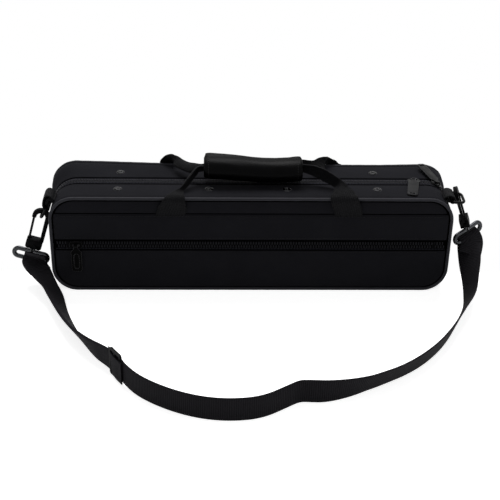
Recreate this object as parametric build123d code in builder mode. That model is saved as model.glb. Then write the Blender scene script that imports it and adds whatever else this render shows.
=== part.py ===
from build123d import *
from math import cos, degrees, hypot, radians, sin, tan
import os

# Flute case, standing on its hinge side with the carrying handle up.
# Millimetres. X runs along the case, -Y is the pocket side, +Z is up. The origin is at the
# middle of the underside. The case parts at y = 0: the front half carries the pocket, the
# shoulder strap and the sliders, and the back half carries the instrument bed.

os.makedirs("parts", exist_ok=True)

# ---------------------------------------------------------------- driving dimensions
case_length = 420.0
case_height = 110.0
case_depth = 84.0
corner_radius = 26.0

# walls, from the outside in
cover_thickness = 1.0
core_thickness = 4.5
lining_thickness = 1.2
skin_gap = 0.3  # between the lining and what is pressed into it
rim_gap = 0.4  # from the parting plane to each rim

# piping
piping_radius = 2.0
piping_stand = 0.8  # how far the piping stands proud of the walls

# pocket on the front
pocket_space = 3.0  # from the front wall to the piping's front
panel_thickness = 1.5
panel_back_gap = 0.4  # between the front wall and the pocket's panels
panel_top = 90.0
pocket_zip_height = 55.0
pocket_zip_opening = 13.0
pocket_zip_start = 194.0  # half the length of the pocket's zip

# zips
tape_thickness = 0.8
tape_width = 13.0
tape_clearance = 0.1
zip_opening = 13.0  # between the two covers' edges
coil_width = 3.0
coil_height = 1.2
coil_gap = 0.15  # from the parting plane to each coil
zip_end_height = 30.0  # where the main zip stops, above the underside

# sliders and their pulls
slider_length = 13.0
slider_width = 9.0
slider_plate = 1.0
slider_lift = 0.3  # between the coil and the slider's plate
loop_wire = 1.2
loop_length = 7.0
eye_wall = 0.8
eye_clearance = 0.1
eye_play = 0.2  # between the eye and each leg of the slider's loop
pull_width = 11.0
pull_thickness = 1.4
pull_length = 35.0
pocket_pull_length = 31.0
top_slider_x = 172.0
corner_slider_angle = 30.0  # round the corner, from straight up

# rivets
rivet_head_diameter = 9.0
rivet_head_height = 1.2
rivet_shank_diameter = 3.6
rivet_shank_length = 4.5
rivet_hole_clearance = 0.1
rivet_row = 20.0  # from the parting plane
rivet_shift = -4.0
rivet_outer_spacing = 270.0
rivet_inner_spacing = 81.0

# handle
webbing_thickness = 1.6
handle_webbing_width = 30.0
handle_sewn_lap = 4.0  # from the webbing's lower end up to the top of the pocket
left_leg_x = -84.0
right_leg_x = 98.0
wrap_center = (3.0, -2.0)
wrap_rise = 16.4  # from the top of the case to the middle of the wrap
wrap_length = 106.0
wrap_half_width = 15.0
wrap_half_height = 12.0
wrap_wall = 4.0
grip_fold_height = 7.0
grip_fold_width = 5.6
grip_slot_height = 9.6

# D-rings and their tabs
ring_wire = 3.0
ring_inner_width = 20.0
ring_depth = 12.0  # from the straight bar to the bow, centre to centre
ring_corner = 6.0
tab_thickness = 1.8
tab_y = -22.0
tab_start_angle = 80.0

# snap hooks
hook_inner_radius = 5.2
hook_wire = 3.4
hook_thickness = 3.0
hook_reach = 28.0  # from the middle of the bow to the base
hook_base_width = 16.0
hook_base_height = 9.5
hook_base_thickness = 8.4
gate_width = 2.4
gate_thickness = 3.0
gate_clearance = 0.3
pin_diameter = 1.6
pin_clearance = 0.05
post_diameter = 4.4
post_clearance = 0.1
post_length = 9.0
frame_wire = 3.2
frame_clearance = 0.6  # beside the webbing
frame_bar_spacing = 9.5

# shoulder strap
strap_width = 25.0
strap_thickness = 1.6
doubled_thickness = 3.4
fold_clearance = 0.1
buckle_thickness = 2.4
buckle_bar = 2.0
buckle_length = 20.0
buckle_clearance = 0.5  # beside the webbing
strap_raise = buckle_bar + buckle_clearance  # what the buckle lifts the webbing off the floor

# inside
pad_face = 10.0  # from the parting plane
bed_face = 2.0
bed_wall = 6.0
body_bay = (352.0, 30.0, 24.0)  # length, width, depth
head_bay = (222.0, 26.0, 22.0)
foot_bay = (124.0, 30.0, 24.0)
rod_slot = (336.0, 7.0, 11.0)
thumb_scoop_radius = 14.0

# ---------------------------------------------------------------- worked-out sizes
wall_length = case_length - 2 * piping_stand
wall_height = case_height - piping_stand
mid_height = wall_height / 2
wall_x = wall_length / 2
corner_x = wall_x - corner_radius
corner_z = wall_height - corner_radius
piping_y = case_depth / 2 - piping_radius
piping_inset = piping_radius - piping_stand
front_face = case_depth / 2 - pocket_space
back_face = case_depth / 2 - piping_stand
lining_inset = cover_thickness + core_thickness
inside_inset = lining_inset + lining_thickness
panel_inner = front_face + panel_back_gap
panel_outer = panel_inner + panel_thickness
hinge_height = cover_thickness
FRONT, BACK = -1, 1


def save(piece, name):
    """Label a finished piece and write its file."""
    piece.part.label = name
    export_step(piece.part, f"parts/{name}.step")


def across(near, far, side):
    """The plane to draw on, and how far to extrude, for a slab of one half.

    near and far are distances from the parting plane."""
    back_y = far if side == BACK else -near
    plane = Plane((0, back_y, mid_height), x_dir=(1, 0, 0), z_dir=(0, -1, 0))
    return plane, far - near


def outline(inset, mode=Mode.ADD):
    """The case seen from the front, drawn in from the walls."""
    length, height = wall_length - 2 * inset, wall_height - 2 * inset
    RectangleRounded(length, height, corner_radius - inset, mode=mode)


def slab(inset, near, far, side, mode=Mode.ADD):
    """A solid of the case's outline, drawn in by inset."""
    plane, depth = across(near, far, side)
    with BuildSketch(plane) as shape:
        outline(inset)
    extrude(shape.sketch, amount=depth, mode=mode)


def ring(inset, thickness, near, far, side, mode=Mode.ADD):
    """A band that follows the walls all the way round."""
    plane, depth = across(near, far, side)
    with BuildSketch(plane) as shape:
        outline(inset)
        outline(inset + thickness, mode=Mode.SUBTRACT)
    extrude(shape.sketch, amount=depth, mode=mode)


def below(height, mode=Mode.SUBTRACT):
    """Everything lower than a height, to cut away or to keep."""
    with Locations((0, 0, height / 2 - 5)):
        Box(case_length + 40, case_depth + 40, height + 10, mode=mode)


def band(points, radii, plane, thickness, width, mode=Mode.ADD):
    """A flat strap whose middle line is drawn on a plane, as wide as it is extruded."""
    with BuildSketch(plane) as shape:
        with BuildLine():
            FilletPolyline(*points, radius=radii)
        trace(line_width=thickness)
    extrude(shape.sketch, amount=width / 2, both=True, mode=mode)


def soft_radii(points):
    """For each corner of a route, the largest arc that its two runs leave room for."""
    radii = []
    for a, b, c in zip(points, points[1:], points[2:]):
        u = [q - p for p, q in zip(a, b)]
        v = [q - p for p, q in zip(b, c)]
        turn = Vector(*u).get_angle(Vector(*v))
        run = min(hypot(*u), hypot(*v))
        radii.append(0.45 * run / tan(radians(turn / 2)))
    return radii


# ---------------------------------------------------------------- places on the walls
# Each is a plane whose normal points away from the case.
def on_top(x, y=0.0):
    return Plane((x, y, wall_height), x_dir=(1, 0, 0), z_dir=(0, 0, 1))


def on_corner(angle, y=0.0):
    """On the right-hand upper corner; the angle is measured from straight up."""
    a = radians(angle)
    place = (corner_x + corner_radius * sin(a), y, corner_z + corner_radius * cos(a))
    return Plane(place, x_dir=(cos(a), 0, -sin(a)), z_dir=(sin(a), 0, cos(a)))


def on_pocket(x):
    """On the pocket's panels at the height of their zip; local y points up."""
    return Plane((x, -panel_outer, pocket_zip_height), x_dir=(1, 0, 0), z_dir=(0, -1, 0))


def rivet_places(side):
    outer = [rivet_shift - rivet_outer_spacing / 2, rivet_shift + rivet_outer_spacing / 2]
    inner = [rivet_shift - rivet_inner_spacing / 2, rivet_shift + rivet_inner_spacing / 2]
    return [(x, side * rivet_row) for x in outer + inner]


def rivet_holes(side):
    for x, y in rivet_places(side):
        with Locations(Location(on_top(x, y))):
            Cylinder(
                rivet_shank_diameter / 2 + rivet_hole_clearance,
                2 * (rivet_shank_length + rivet_hole_clearance),
                mode=Mode.SUBTRACT,
            )


# ---------------------------------------------------------------- piping
def make_piping(side):
    """Round piping along the edge between a half's walls and its broad face."""
    inset = piping_inset
    path_plane = Plane((0, side * piping_y, mid_height), x_dir=(1, 0, 0), z_dir=(0, -1, 0))
    half_l, half_h = wall_length / 2 - inset, wall_height / 2 - inset
    with BuildPart() as piping:
        with BuildLine(path_plane) as path:
            edge = FilletPolyline(
                (0, -half_h),
                (half_l, -half_h),
                (half_l, half_h),
                (-half_l, half_h),
                (-half_l, -half_h),
                (-1, -half_h),
                radius=corner_radius - inset,
            )
            Line(edge @ 1, edge @ 0)
        with BuildSketch(Plane((0, side * piping_y, inset), z_dir=(1, 0, 0))):
            Circle(piping_radius)
        sweep(path=path.wire())
        below(0)
    return piping


front_piping = make_piping(FRONT)
back_piping = make_piping(BACK)
save(front_piping, "front_piping")
save(back_piping, "back_piping")


# ---------------------------------------------------------------- covers, cores, linings
def make_cover(side, face, piping):
    """The woven outer cover of one half: a pan whose edge stops short of the zip."""
    with BuildPart() as cover:
        slab(0, zip_opening / 2, face, side)
        slab(cover_thickness, zip_opening / 2, face - cover_thickness, side, Mode.SUBTRACT)
        add(piping.part, mode=Mode.SUBTRACT)
        rivet_holes(side)
    return cover


def make_core(side, face, piping):
    """The stiff board under the cover, stepped at the rim for the zip's tape."""
    with BuildPart() as core:
        outer_far = face - cover_thickness
        slab(cover_thickness, rim_gap, outer_far, side)
        slab(lining_inset, rim_gap, outer_far - core_thickness, side, Mode.SUBTRACT)
        step = tape_thickness + tape_clearance
        ring(cover_thickness, step, rim_gap, tape_width + 1, side, Mode.SUBTRACT)
        add(piping.part, mode=Mode.SUBTRACT)
        rivet_holes(side)
    return core


def make_lining(side, face):
    """The plush lining inside the core."""
    with BuildPart() as lining:
        outer_far = face - cover_thickness - core_thickness
        slab(lining_inset, rim_gap, outer_far, side)
        slab(inside_inset, rim_gap, outer_far - lining_thickness, side, Mode.SUBTRACT)
    return lining


front_cover = make_cover(FRONT, front_face, front_piping)
back_cover = make_cover(BACK, back_face, back_piping)
front_core = make_core(FRONT, front_face, front_piping)
back_core = make_core(BACK, back_face, back_piping)
front_lining = make_lining(FRONT, front_face)
back_lining = make_lining(BACK, back_face)
save(front_cover, "front_cover")
save(back_cover, "back_cover")
save(front_core, "front_core")
save(back_core, "back_core")
save(front_lining, "front_lining")
save(back_lining, "back_lining")

# ---------------------------------------------------------------- pad and instrument bed
inside_front = front_face - inside_inset
inside_back = back_face - inside_inset

with BuildPart() as lid_pad:
    slab(inside_inset + skin_gap, pad_face, inside_front - skin_gap, FRONT)
save(lid_pad, "lid_pad")

low_row = inside_inset + skin_gap + bed_wall + body_bay[1] / 2
high_row = low_row + body_bay[1] / 2 + bed_wall + foot_bay[1] / 2
rod_row = high_row + foot_bay[1] / 2 + bed_wall / 2 + rod_slot[1] / 2
pair_length = head_bay[0] + bed_wall + foot_bay[0]
head_x = head_bay[0] / 2 - pair_length / 2
foot_x = pair_length / 2 - foot_bay[0] / 2


def bay(size, x, z):
    """A round-ended bay sunk into the bed from its open face."""
    length, width, depth = size
    plane = Plane((x, bed_face, z), x_dir=(1, 0, 0), z_dir=(0, -1, 0))
    with BuildSketch(plane) as shape:
        RectangleRounded(length, width, width / 2 - 0.5)
    extrude(shape.sketch, amount=-depth, mode=Mode.SUBTRACT)


with BuildPart() as instrument_bed:
    slab(inside_inset + skin_gap, bed_face, inside_back - skin_gap, BACK)
    bay(body_bay, 0, low_row)
    bay(head_bay, head_x, high_row)
    bay(foot_bay, foot_x, high_row)
    bay(rod_slot, 0, rod_row)
    scoop_plane = Plane((head_x, bed_face, low_row), x_dir=(1, 0, 0), z_dir=(0, 0, 1))
    with BuildSketch(scoop_plane):
        Circle(thumb_scoop_radius)
    extrude(amount=high_row - low_row, mode=Mode.SUBTRACT)
save(instrument_bed, "instrument_bed")


# ---------------------------------------------------------------- zip tapes, coils, hinge cloth
def make_tape(side):
    with BuildPart() as tape:
        ring(cover_thickness, tape_thickness, rim_gap, tape_width, side)
        below(zip_end_height)
    return tape


def make_coil(side):
    with BuildPart() as coil:
        ring(cover_thickness - coil_height, coil_height, coil_gap, coil_gap + coil_width, side)
        below(zip_end_height)
    return coil


def make_hinge(side):
    """The cloth that joins the halves under the case, up to the ends of the zip."""
    with BuildPart() as cloth:
        ring(cover_thickness, tape_thickness, coil_gap, tape_width, side)
        below(zip_end_height - skin_gap, mode=Mode.INTERSECT)
    return cloth


save(make_tape(FRONT), "front_zip_tape")
save(make_tape(BACK), "back_zip_tape")
save(make_coil(FRONT), "front_zip_coil")
save(make_coil(BACK), "back_zip_coil")
save(make_hinge(FRONT), "front_hinge_cloth")
save(make_hinge(BACK), "back_hinge_cloth")

# ---------------------------------------------------------------- pocket
panel_inset = piping_inset + piping_radius + 0.1


def make_panel(bottom, top):
    """A flat panel of the pocket, between two heights."""
    with BuildPart() as panel:
        slab(panel_inset, panel_inner, panel_outer, FRONT)
        with Locations((0, -panel_inner, (bottom + top) / 2)):
            Box(case_length, 4 * panel_thickness, top - bottom, mode=Mode.INTERSECT)
    return panel


save(make_panel(pocket_zip_height + pocket_zip_opening / 2, panel_top), "pocket_upper_panel")
save(make_panel(-1, pocket_zip_height - pocket_zip_opening / 2), "pocket_lower_panel")

pocket_tape_width = pocket_zip_opening - 2 * tape_clearance
with BuildPart() as pocket_tape:
    with Locations((0, -panel_inner - tape_thickness / 2, pocket_zip_height)):
        Box(2 * pocket_zip_start, tape_thickness, pocket_tape_width)
save(pocket_tape, "pocket_zip_tape")

with BuildPart() as pocket_coil:
    coil_depth = panel_outer - panel_inner - tape_thickness
    with Locations((0, -panel_outer + coil_depth / 2, pocket_zip_height)):
        Box(2 * pocket_zip_start - 8, coil_depth, 2 * coil_width)
save(pocket_coil, "pocket_zip_coil")

with BuildPart() as zip_stops:
    for place in (-1, 1):
        with Locations((place * (pocket_zip_start - 2.5), -panel_outer + 0.2, pocket_zip_height)):
            Box(2.4, 1.0, 2 * coil_width + 1)
        with Locations((place * (wall_x + 0.1), -coil_gap - coil_width / 2 - 0.3, zip_end_height - 3)):
            Box(1.6, coil_width, 5.0)
save(zip_stops, "zip_stops")


# ---------------------------------------------------------------- sliders and pulls
eye_width = loop_length - 2 * loop_wire - 2 * eye_play
loop_height = slider_plate + slider_lift + eye_wall + eye_clearance * 2 + loop_wire / 2


def make_slider(place, coil_top):
    """A slider on a wall: a waisted plate over the coils and a wire loop for the pull.

    place has the coils running along its x; coil_top is their height above it."""
    with BuildPart() as slider:
        base = place.offset(coil_top + slider_lift)
        half_l, half_w = slider_length / 2, slider_width / 2
        with BuildSketch(base):
            with BuildLine():
                Polyline(
                    (-half_l, half_w * 0.72),
                    (-half_l * 0.2, half_w),
                    (half_l, half_w * 0.8),
                    (half_l, -half_w * 0.8),
                    (-half_l * 0.2, -half_w),
                    (-half_l, -half_w * 0.72),
                    close=True,
                )
            make_face()
            fillet(vertices(), radius=1.2)
        extrude(amount=slider_plate)
        fillet(faces().sort_by(SortBy.DISTANCE).last.edges(), radius=0.35)
        side_drop = slider_lift + 0.35
        with BuildSketch(base):
            with Locations((0, 0.45 - half_w)):
                Rectangle(slider_length * 0.6, 0.7)
        extrude(amount=-side_drop)
        top = place.offset(coil_top + loop_height)
        leg = loop_height - slider_lift - slider_plate + loop_wire / 2
        for end in (-1, 1):
            with BuildSketch(top.offset(loop_wire / 2)):
                with Locations((end * (loop_length / 2 - loop_wire / 2), 0)):
                    RectangleRounded(loop_wire, loop_wire + 0.6, 0.5)
            extrude(amount=-leg)
        bar = Plane(top.origin, x_dir=top.y_dir, z_dir=top.x_dir)
        with BuildSketch(bar):
            Circle(loop_wire / 2)
        extrude(amount=loop_length / 2 - loop_wire / 2, both=True)
    return slider


def make_pull(place, coil_top, length, turn, dip, hollow):
    """A pull: an eye round the slider's loop and a blade with a slot near its end.

    The blade points along -y of the place, turned about its normal, and dips towards it."""
    axis_place = place.offset(coil_top + loop_height)
    turned = axis_place * Location((0, 0, 0), (0, 0, 1), turn)
    lying = turned * Location((0, 0, 0), (1, 0, 0), dip)
    bar_radius = loop_wire / 2
    eye_outer = bar_radius + eye_clearance + eye_wall
    with BuildPart() as pull:
        blade = Plane(lying)
        with BuildSketch(blade.offset(-pull_thickness / 2)):
            with BuildLine():
                Polyline(
                    (-eye_width / 2, -bar_radius - eye_clearance - 0.2),
                    (-eye_width / 2, -eye_outer - 1.5),
                    (-pull_width / 2, -eye_outer - 6),
                    (-pull_width / 2, -length),
                    (pull_width / 2, -length),
                    (pull_width / 2, -eye_outer - 6),
                    (eye_width / 2, -eye_outer - 1.5),
                    (eye_width / 2, -bar_radius - eye_clearance - 0.2),
                    close=True,
                )
            make_face()
            fillet(vertices().sort_by(Axis.Y)[:2], radius=pull_width * 0.3)
            if not hollow:
                with Locations((0, -length + pull_width * 0.32)):
                    SlotOverall(pull_width * 0.62, 2.2, mode=Mode.SUBTRACT)
        extrude(amount=pull_thickness)
        if hollow:
            with BuildSketch(blade.offset(pull_thickness / 2)):
                with Locations((0, -length * 0.6)):
                    SlotCenterToCenter(length * 0.4, pull_width * 0.5, rotation=90)
            extrude(amount=-pull_thickness / 2, mode=Mode.SUBTRACT)
        edges_out = edges().filter_by(GeomType.LINE).filter_by(lambda e: e.length > length * 0.3)
        chamfer(edges_out, length=0.3)
        eye = Plane(blade.origin, x_dir=blade.y_dir, z_dir=blade.x_dir)
        with BuildSketch(eye):
            Circle(eye_outer)
        extrude(amount=eye_width / 2, both=True)
        with BuildSketch(eye):
            Circle(bar_radius + eye_clearance)
        extrude(amount=eye_width, both=True, mode=Mode.SUBTRACT)
    return pull


main_coil_top = coil_height - cover_thickness
top_place = on_top(top_slider_x)
corner_place = on_corner(corner_slider_angle)
pocket_place = on_pocket(-pocket_zip_start + slider_length / 2 + 4.5)
pull_dip = 3.0

save(make_slider(top_place, main_coil_top), "top_slider")
save(make_slider(corner_place, main_coil_top), "corner_slider")
save(make_slider(pocket_place, 0), "pocket_slider")
save(make_pull(top_place, main_coil_top, pull_length, 0, pull_dip, False), "top_pull")
save(make_pull(corner_place, main_coil_top, pull_length, 180, pull_dip, False), "corner_pull")
save(make_pull(pocket_place, 0, pocket_pull_length, 0, 1.5, True), "pocket_pull")


# ---------------------------------------------------------------- rivets
def make_rivets(side):
    """Domed rivets with a dimpled head, set through the cover into the core."""
    head = rivet_head_diameter / 2
    with BuildPart() as rivets:
        for x, y in rivet_places(side):
            with BuildSketch(Plane((x, y, wall_height), x_dir=(1, 0, 0), z_dir=(0, -1, 0))):
                with BuildLine():
                    a = Line((0, -rivet_shank_length), (rivet_shank_diameter / 2, -rivet_shank_length))
                    b = Line(a @ 1, (rivet_shank_diameter / 2, 0))
                    c = Line(b @ 1, (head, 0))
                    d = Line(c @ 1, (head, rivet_head_height * 0.4))
                    e = ThreePointArc(
                        d @ 1,
                        (head * 0.8, rivet_head_height * 0.95),
                        (head * 0.45, rivet_head_height),
                    )
                    f = Line(e @ 1, (head * 0.33, rivet_head_height * 0.35))
                    g = Line(f @ 1, (0, rivet_head_height * 0.35))
                    Line(g @ 1, a @ 0)
                make_face()
            revolve(axis=Axis((x, y, 0), (0, 0, 1)))
    return rivets


save(make_rivets(FRONT), "front_rivets")
save(make_rivets(BACK), "back_rivets")

# ---------------------------------------------------------------- handle
wrap_x, wrap_y = wrap_center
wrap_z = case_height + wrap_rise
wrap_left = wrap_x - wrap_length / 2
wrap_right = wrap_x + wrap_length / 2
end_plane = Plane((wrap_left, wrap_y, wrap_z), x_dir=(0, 1, 0), z_dir=(1, 0, 0))

with BuildPart() as handle_wrap:
    with BuildSketch(end_plane):
        Ellipse(wrap_half_width, wrap_half_height)
        Ellipse(wrap_half_width - wrap_wall, wrap_half_height - wrap_wall, mode=Mode.SUBTRACT)
        with Locations((wrap_half_width / 2 + 1, -1)):
            Rectangle(wrap_half_width + 2, grip_slot_height, mode=Mode.SUBTRACT)
    extrude(amount=wrap_length)
save(handle_wrap, "handle_wrap")


def make_handle_webbing(side, face, over_y, over_z, fold_y, fold_z):
    """One half's carrying strap: sewn to the broad face, over the piping, into the wrap."""
    t = webbing_thickness
    lying_y = face + t / 2 + 0.1
    arch_y = case_depth / 2 + t / 2 + 0.3
    arch_z = case_height + t / 2 + over_z
    profile = [
        (side * lying_y, panel_top - handle_sewn_lap),
        (side * lying_y, panel_top + 6),
        (side * arch_y, panel_top + 13),
        (side * arch_y, arch_z),
        (side * over_y, arch_z + 1),
    ]
    with BuildPart() as webbing:
        for leg_x in (left_leg_x, right_leg_x):
            leg_plane = Plane((leg_x, 0, 0), x_dir=(0, 1, 0), z_dir=(1, 0, 0))
            band(profile, [8, 8, 3.0], leg_plane, t, handle_webbing_width)
            grip_x = wrap_left - 2 if leg_x < wrap_x else wrap_right + 2
            start = Plane((leg_x, side * over_y, arch_z + 1), x_dir=(1, 0, 0), z_dir=(0, -1, 0))
            toward = (fold_y - side * over_y, fold_z - arch_z - 1)
            middle_x = leg_x * 0.55 + grip_x * 0.45
            middle_y = side * over_y + toward[0] * 0.5
            middle_z = arch_z + 1 + toward[1] * 0.6
            middle = Plane((middle_x, middle_y, middle_z), x_dir=(1, 0, 0), z_dir=(0, -1, 0))
            with BuildSketch(start) as first:
                Rectangle(handle_webbing_width, t)
            with BuildSketch(middle) as second:
                Rectangle(handle_webbing_width * 0.62, t * 2)
            last_plane = Plane((grip_x, fold_y, fold_z), x_dir=(1, 0, 0), z_dir=(0, -1, 0))
            with BuildSketch(last_plane) as third:
                Rectangle(grip_fold_width * 1.4, grip_fold_height)
            loft([first.sketch, second.sketch, third.sketch], ruled=True)
        with Locations((wrap_x, fold_y, fold_z)):
            Box(wrap_length + 4 + grip_fold_width, grip_fold_width, grip_fold_height)
    return webbing


front_fold_y = wrap_y - grip_fold_width / 2 - 1.2
back_fold_y = wrap_y + grip_fold_width / 2 + 1.2
fold_height = wrap_z - 0.5
save(
    make_handle_webbing(FRONT, panel_outer, 33.0, 0.6, front_fold_y, fold_height),
    "front_handle_webbing",
)
save(
    make_handle_webbing(BACK, back_face, 33.0, 2.6, back_fold_y, fold_height),
    "back_handle_webbing",
)


# ---------------------------------------------------------------- end tabs and D-rings
def polar(sign, radius, angle):
    """A point round an upper corner of the case: sign picks the end, the angle is from level."""
    a = radians(angle)
    return (sign * (corner_x + radius * cos(a)), corner_z + radius * sin(a))


def make_tab(sign, end_angle, bar):
    """A webbing tab sewn over the corner, with its fold round the D-ring's bar."""
    t = tab_thickness
    face_plane = Plane((0, tab_y, 0), x_dir=(1, 0, 0), z_dir=(0, -1, 0))
    r = corner_radius + t / 2 + 0.05
    fold_outer = ring_wire / 2 + fold_clearance + t
    with BuildPart() as tab:
        with BuildSketch(face_plane):
            with BuildLine():
                a = ThreePointArc(
                    polar(sign, r, tab_start_angle),
                    polar(sign, r, (tab_start_angle + end_angle) / 2),
                    polar(sign, r, end_angle),
                )
                Line(a @ 1, bar)
            trace(line_width=t)
            with Locations(bar):
                Circle(fold_outer)
                Circle(fold_outer - t, mode=Mode.SUBTRACT)
        extrude(amount=ring_inner_width / 2 - 0.4, both=True)
        with BuildSketch(face_plane):
            with Locations(bar):
                Circle(fold_outer - t)
        extrude(amount=ring_inner_width, both=True, mode=Mode.SUBTRACT)
    return tab


def make_ring(bar, bow):
    """A D-ring: a straight bar in the tab and a bow, drawn in the plane of both."""
    out = Vector(bow[0] - bar[0], 0, bow[1] - bar[1])
    ring_plane = Plane(
        (bar[0], tab_y, bar[1]), x_dir=(0, 1, 0), z_dir=Vector(0, 1, 0).cross(out).normalized()
    )
    half = ring_inner_width / 2 + ring_wire / 2
    depth = out.length
    with BuildPart() as d_ring:
        with BuildLine(ring_plane) as path:
            bow_line = FilletPolyline(
                (0, 0), (half, 0), (half, depth), (-half, depth), (-half, 0), (-1, 0),
                radius=[2.2, ring_corner, ring_corner, 2.2],
            )
            Line(bow_line @ 1, bow_line @ 0)
        with BuildSketch(Plane(ring_plane.origin, z_dir=(0, 1, 0))):
            Circle(ring_wire / 2)
        sweep(path=path.wire())
    return d_ring


def make_end(sign, bar_angle, slack, ring_droop, seat, hang, lean, twist, frame_twist):
    """One end of the case, from its tab down to the hook.

    The ring's bar is held at an angle round the corner, and its bow droops from level. The
    hook hangs in the middle of the bow, or from the ring's rear side, seat away from the bar.
    It leans away from the case and is turned about its own length; hang is the gap between
    the ring's wire and the top of the hook's bow."""
    reach = corner_radius + ring_wire / 2 + fold_clearance + tab_thickness + 0.3 + slack
    bar = polar(sign, reach, bar_angle)
    droop = radians(ring_droop)
    bow = (bar[0] + sign * ring_depth * cos(droop), bar[1] - ring_depth * sin(droop))
    held = (bar[0] + sign * seat * cos(droop), tab_y, bar[1] - seat * sin(droop))
    if seat < ring_depth:
        held = (held[0], tab_y + (ring_inner_width + ring_wire) / 2, held[2])
    up = Vector(-sign * sin(radians(lean)), 0, cos(radians(lean)))
    middle = Vector(*held) - up * (hook_inner_radius - ring_wire / 2 - hang)
    return dict(
        sign=sign,
        tab_end=bar_angle + degrees(5.0 / corner_radius),
        bar=bar,
        bow=bow,
        up=up,
        middle=middle,
        twist=twist,
        frame_twist=frame_twist,
    )


left_end = make_end(-1, 15.5, 0.8, 58.0, ring_depth, 0.3, 17.0, 0.0, 0.0)
right_end = make_end(1, 36.0, 2.5, 5.0, 7.2, 1.2, 20.0, -100.0, 30.0)


# ---------------------------------------------------------------- snap hooks
def turned_plane(end, twist):
    """Local x across, y up along the hook; origin at the middle of the hook's bow."""
    up = end["up"]
    across_hook = up.cross(Vector(0, -1, 0)).rotate(Axis((0, 0, 0), up), twist)
    return Plane(end["middle"], x_dir=across_hook, z_dir=across_hook.cross(up))


spine = hook_inner_radius + hook_wire / 2
gate_pivot = (-spine + 0.6, -hook_reach - 2.6)


def make_hook_body(end):
    place = turned_plane(end, end["twist"])
    side = -end["sign"]
    with BuildPart() as hook:
        with BuildSketch(place):
            with BuildLine():
                a = Line((side * spine, -hook_reach - 1), (side * spine, 0))
                b = ThreePointArc(a @ 1, (0, spine), (-side * spine, 0))
                Line(b @ 1, (-side * spine, -1.5))
            trace(line_width=hook_wire)
        extrude(amount=hook_thickness / 2, both=True)
        with BuildSketch(place):
            with Locations((0, -hook_reach - hook_base_height / 2)):
                RectangleRounded(hook_base_width, hook_base_height, 2.2)
        extrude(amount=hook_base_thickness / 2, both=True)
        slot_x = side * gate_pivot[0]
        with BuildSketch(place):
            with Locations((slot_x - side * 1.0, -hook_reach - 1.6)):
                Rectangle(8.4, 7.6)
        extrude(amount=gate_thickness / 2 + gate_clearance, both=True, mode=Mode.SUBTRACT)
        pin_place = Plane(place.from_local_coords(Vector(slot_x, gate_pivot[1], 0)), z_dir=place.z_dir)
        with BuildSketch(pin_place):
            Circle(pin_diameter / 2)
        extrude(amount=hook_base_thickness / 2, both=True)
        bore_plane = Plane(
            place.from_local_coords(Vector(0, -hook_reach - hook_base_height, 0)), z_dir=place.y_dir
        )
        with BuildSketch(bore_plane):
            Circle(post_diameter / 2 + post_clearance)
        extrude(amount=post_length / 2, mode=Mode.SUBTRACT)
    return hook


def make_gate(end):
    """The sprung gate: a bar from the pin in the base up to the hook's tip."""
    place = turned_plane(end, end["twist"])
    side = -end["sign"]
    x, y = side * gate_pivot[0], gate_pivot[1]
    tip = (-side * spine, -1.5 - 0.4)
    with BuildPart() as gate:
        with BuildSketch(place):
            with BuildLine():
                FilletPolyline((x, y), (x - side * 0.1, y + 6), tip, radius=6)
            trace(line_width=gate_width)
            with Locations((x, y)):
                Circle(2.0)
        extrude(amount=gate_thickness / 2, both=True)
        with BuildSketch(place):
            with Locations((x, y)):
                Circle(pin_diameter / 2 + pin_clearance)
        extrude(amount=gate_thickness, both=True, mode=Mode.SUBTRACT)
    return gate


def frame_plane(end):
    """The strap frame under a hook: x along its bars, y up along the hook."""
    upper = hook_reach + hook_base_height + post_length / 2 + frame_wire / 2
    place = turned_plane(end, end["frame_twist"])
    return Plane(end["middle"] - end["up"] * upper, x_dir=place.x_dir, z_dir=place.z_dir)


frame_half = strap_width / 2 + frame_clearance


def make_frame(end):
    """The wire frame that the strap is folded round, with its swivel post."""
    place = frame_plane(end)
    drop, wire = frame_bar_spacing, frame_wire / 2
    with BuildPart() as frame:
        with BuildLine(place) as path:
            a = Line((0, 0), (frame_half, 0))
            b = ThreePointArc(a @ 1, (frame_half + drop / 2, -drop / 2), (frame_half, -drop))
            c = Line(b @ 1, (-frame_half, -drop))
            d = ThreePointArc(c @ 1, (-frame_half - drop / 2, -drop / 2), (-frame_half, 0))
            Line(d @ 1, a @ 0)
        with BuildSketch(Plane(place.origin, z_dir=place.x_dir)):
            Circle(wire)
        sweep(path=path.wire())
        with BuildSketch(Plane(place.origin, z_dir=place.y_dir)):
            Circle(post_diameter / 2)
        extrude(amount=wire + post_length - 0.6)
    return frame


def strap_bar(end):
    """The middle of the frame's lower bar."""
    place = frame_plane(end)
    return place.from_local_coords(Vector(0, -frame_bar_spacing, 0)), place


for name, end in (("left", left_end), ("right", right_end)):
    save(make_tab(end["sign"], end["tab_end"], end["bar"]), f"{name}_ring_tab")
    save(make_ring(end["bar"], end["bow"]), f"{name}_d_ring")
    save(make_hook_body(end), f"{name}_hook_body")
    save(make_gate(end), f"{name}_hook_gate")
    save(make_frame(end), f"{name}_strap_frame")

# ---------------------------------------------------------------- shoulder strap
# The strap stands on its edge on the floor in front of the case and climbs to a hook at each
# end. Its routes are lists chosen by hand: (x, y) on the floor, and (run, height) on a climb.
buckle_place = (-131.0, -199.0)
buckle_along = (0.576, -0.817)
join_run = 13.2  # from the middle of the buckle to where its two plies are sewn together
half_doubled = doubled_thickness / 2
half_single = strap_thickness / 2


def beside_buckle(run, lift):
    """A point by the buckle: so far along the strap, and so far out from its middle."""
    ux, uy = buckle_along
    return (buckle_place[0] + ux * run + uy * lift, buckle_place[1] + uy * run - ux * lift)


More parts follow.
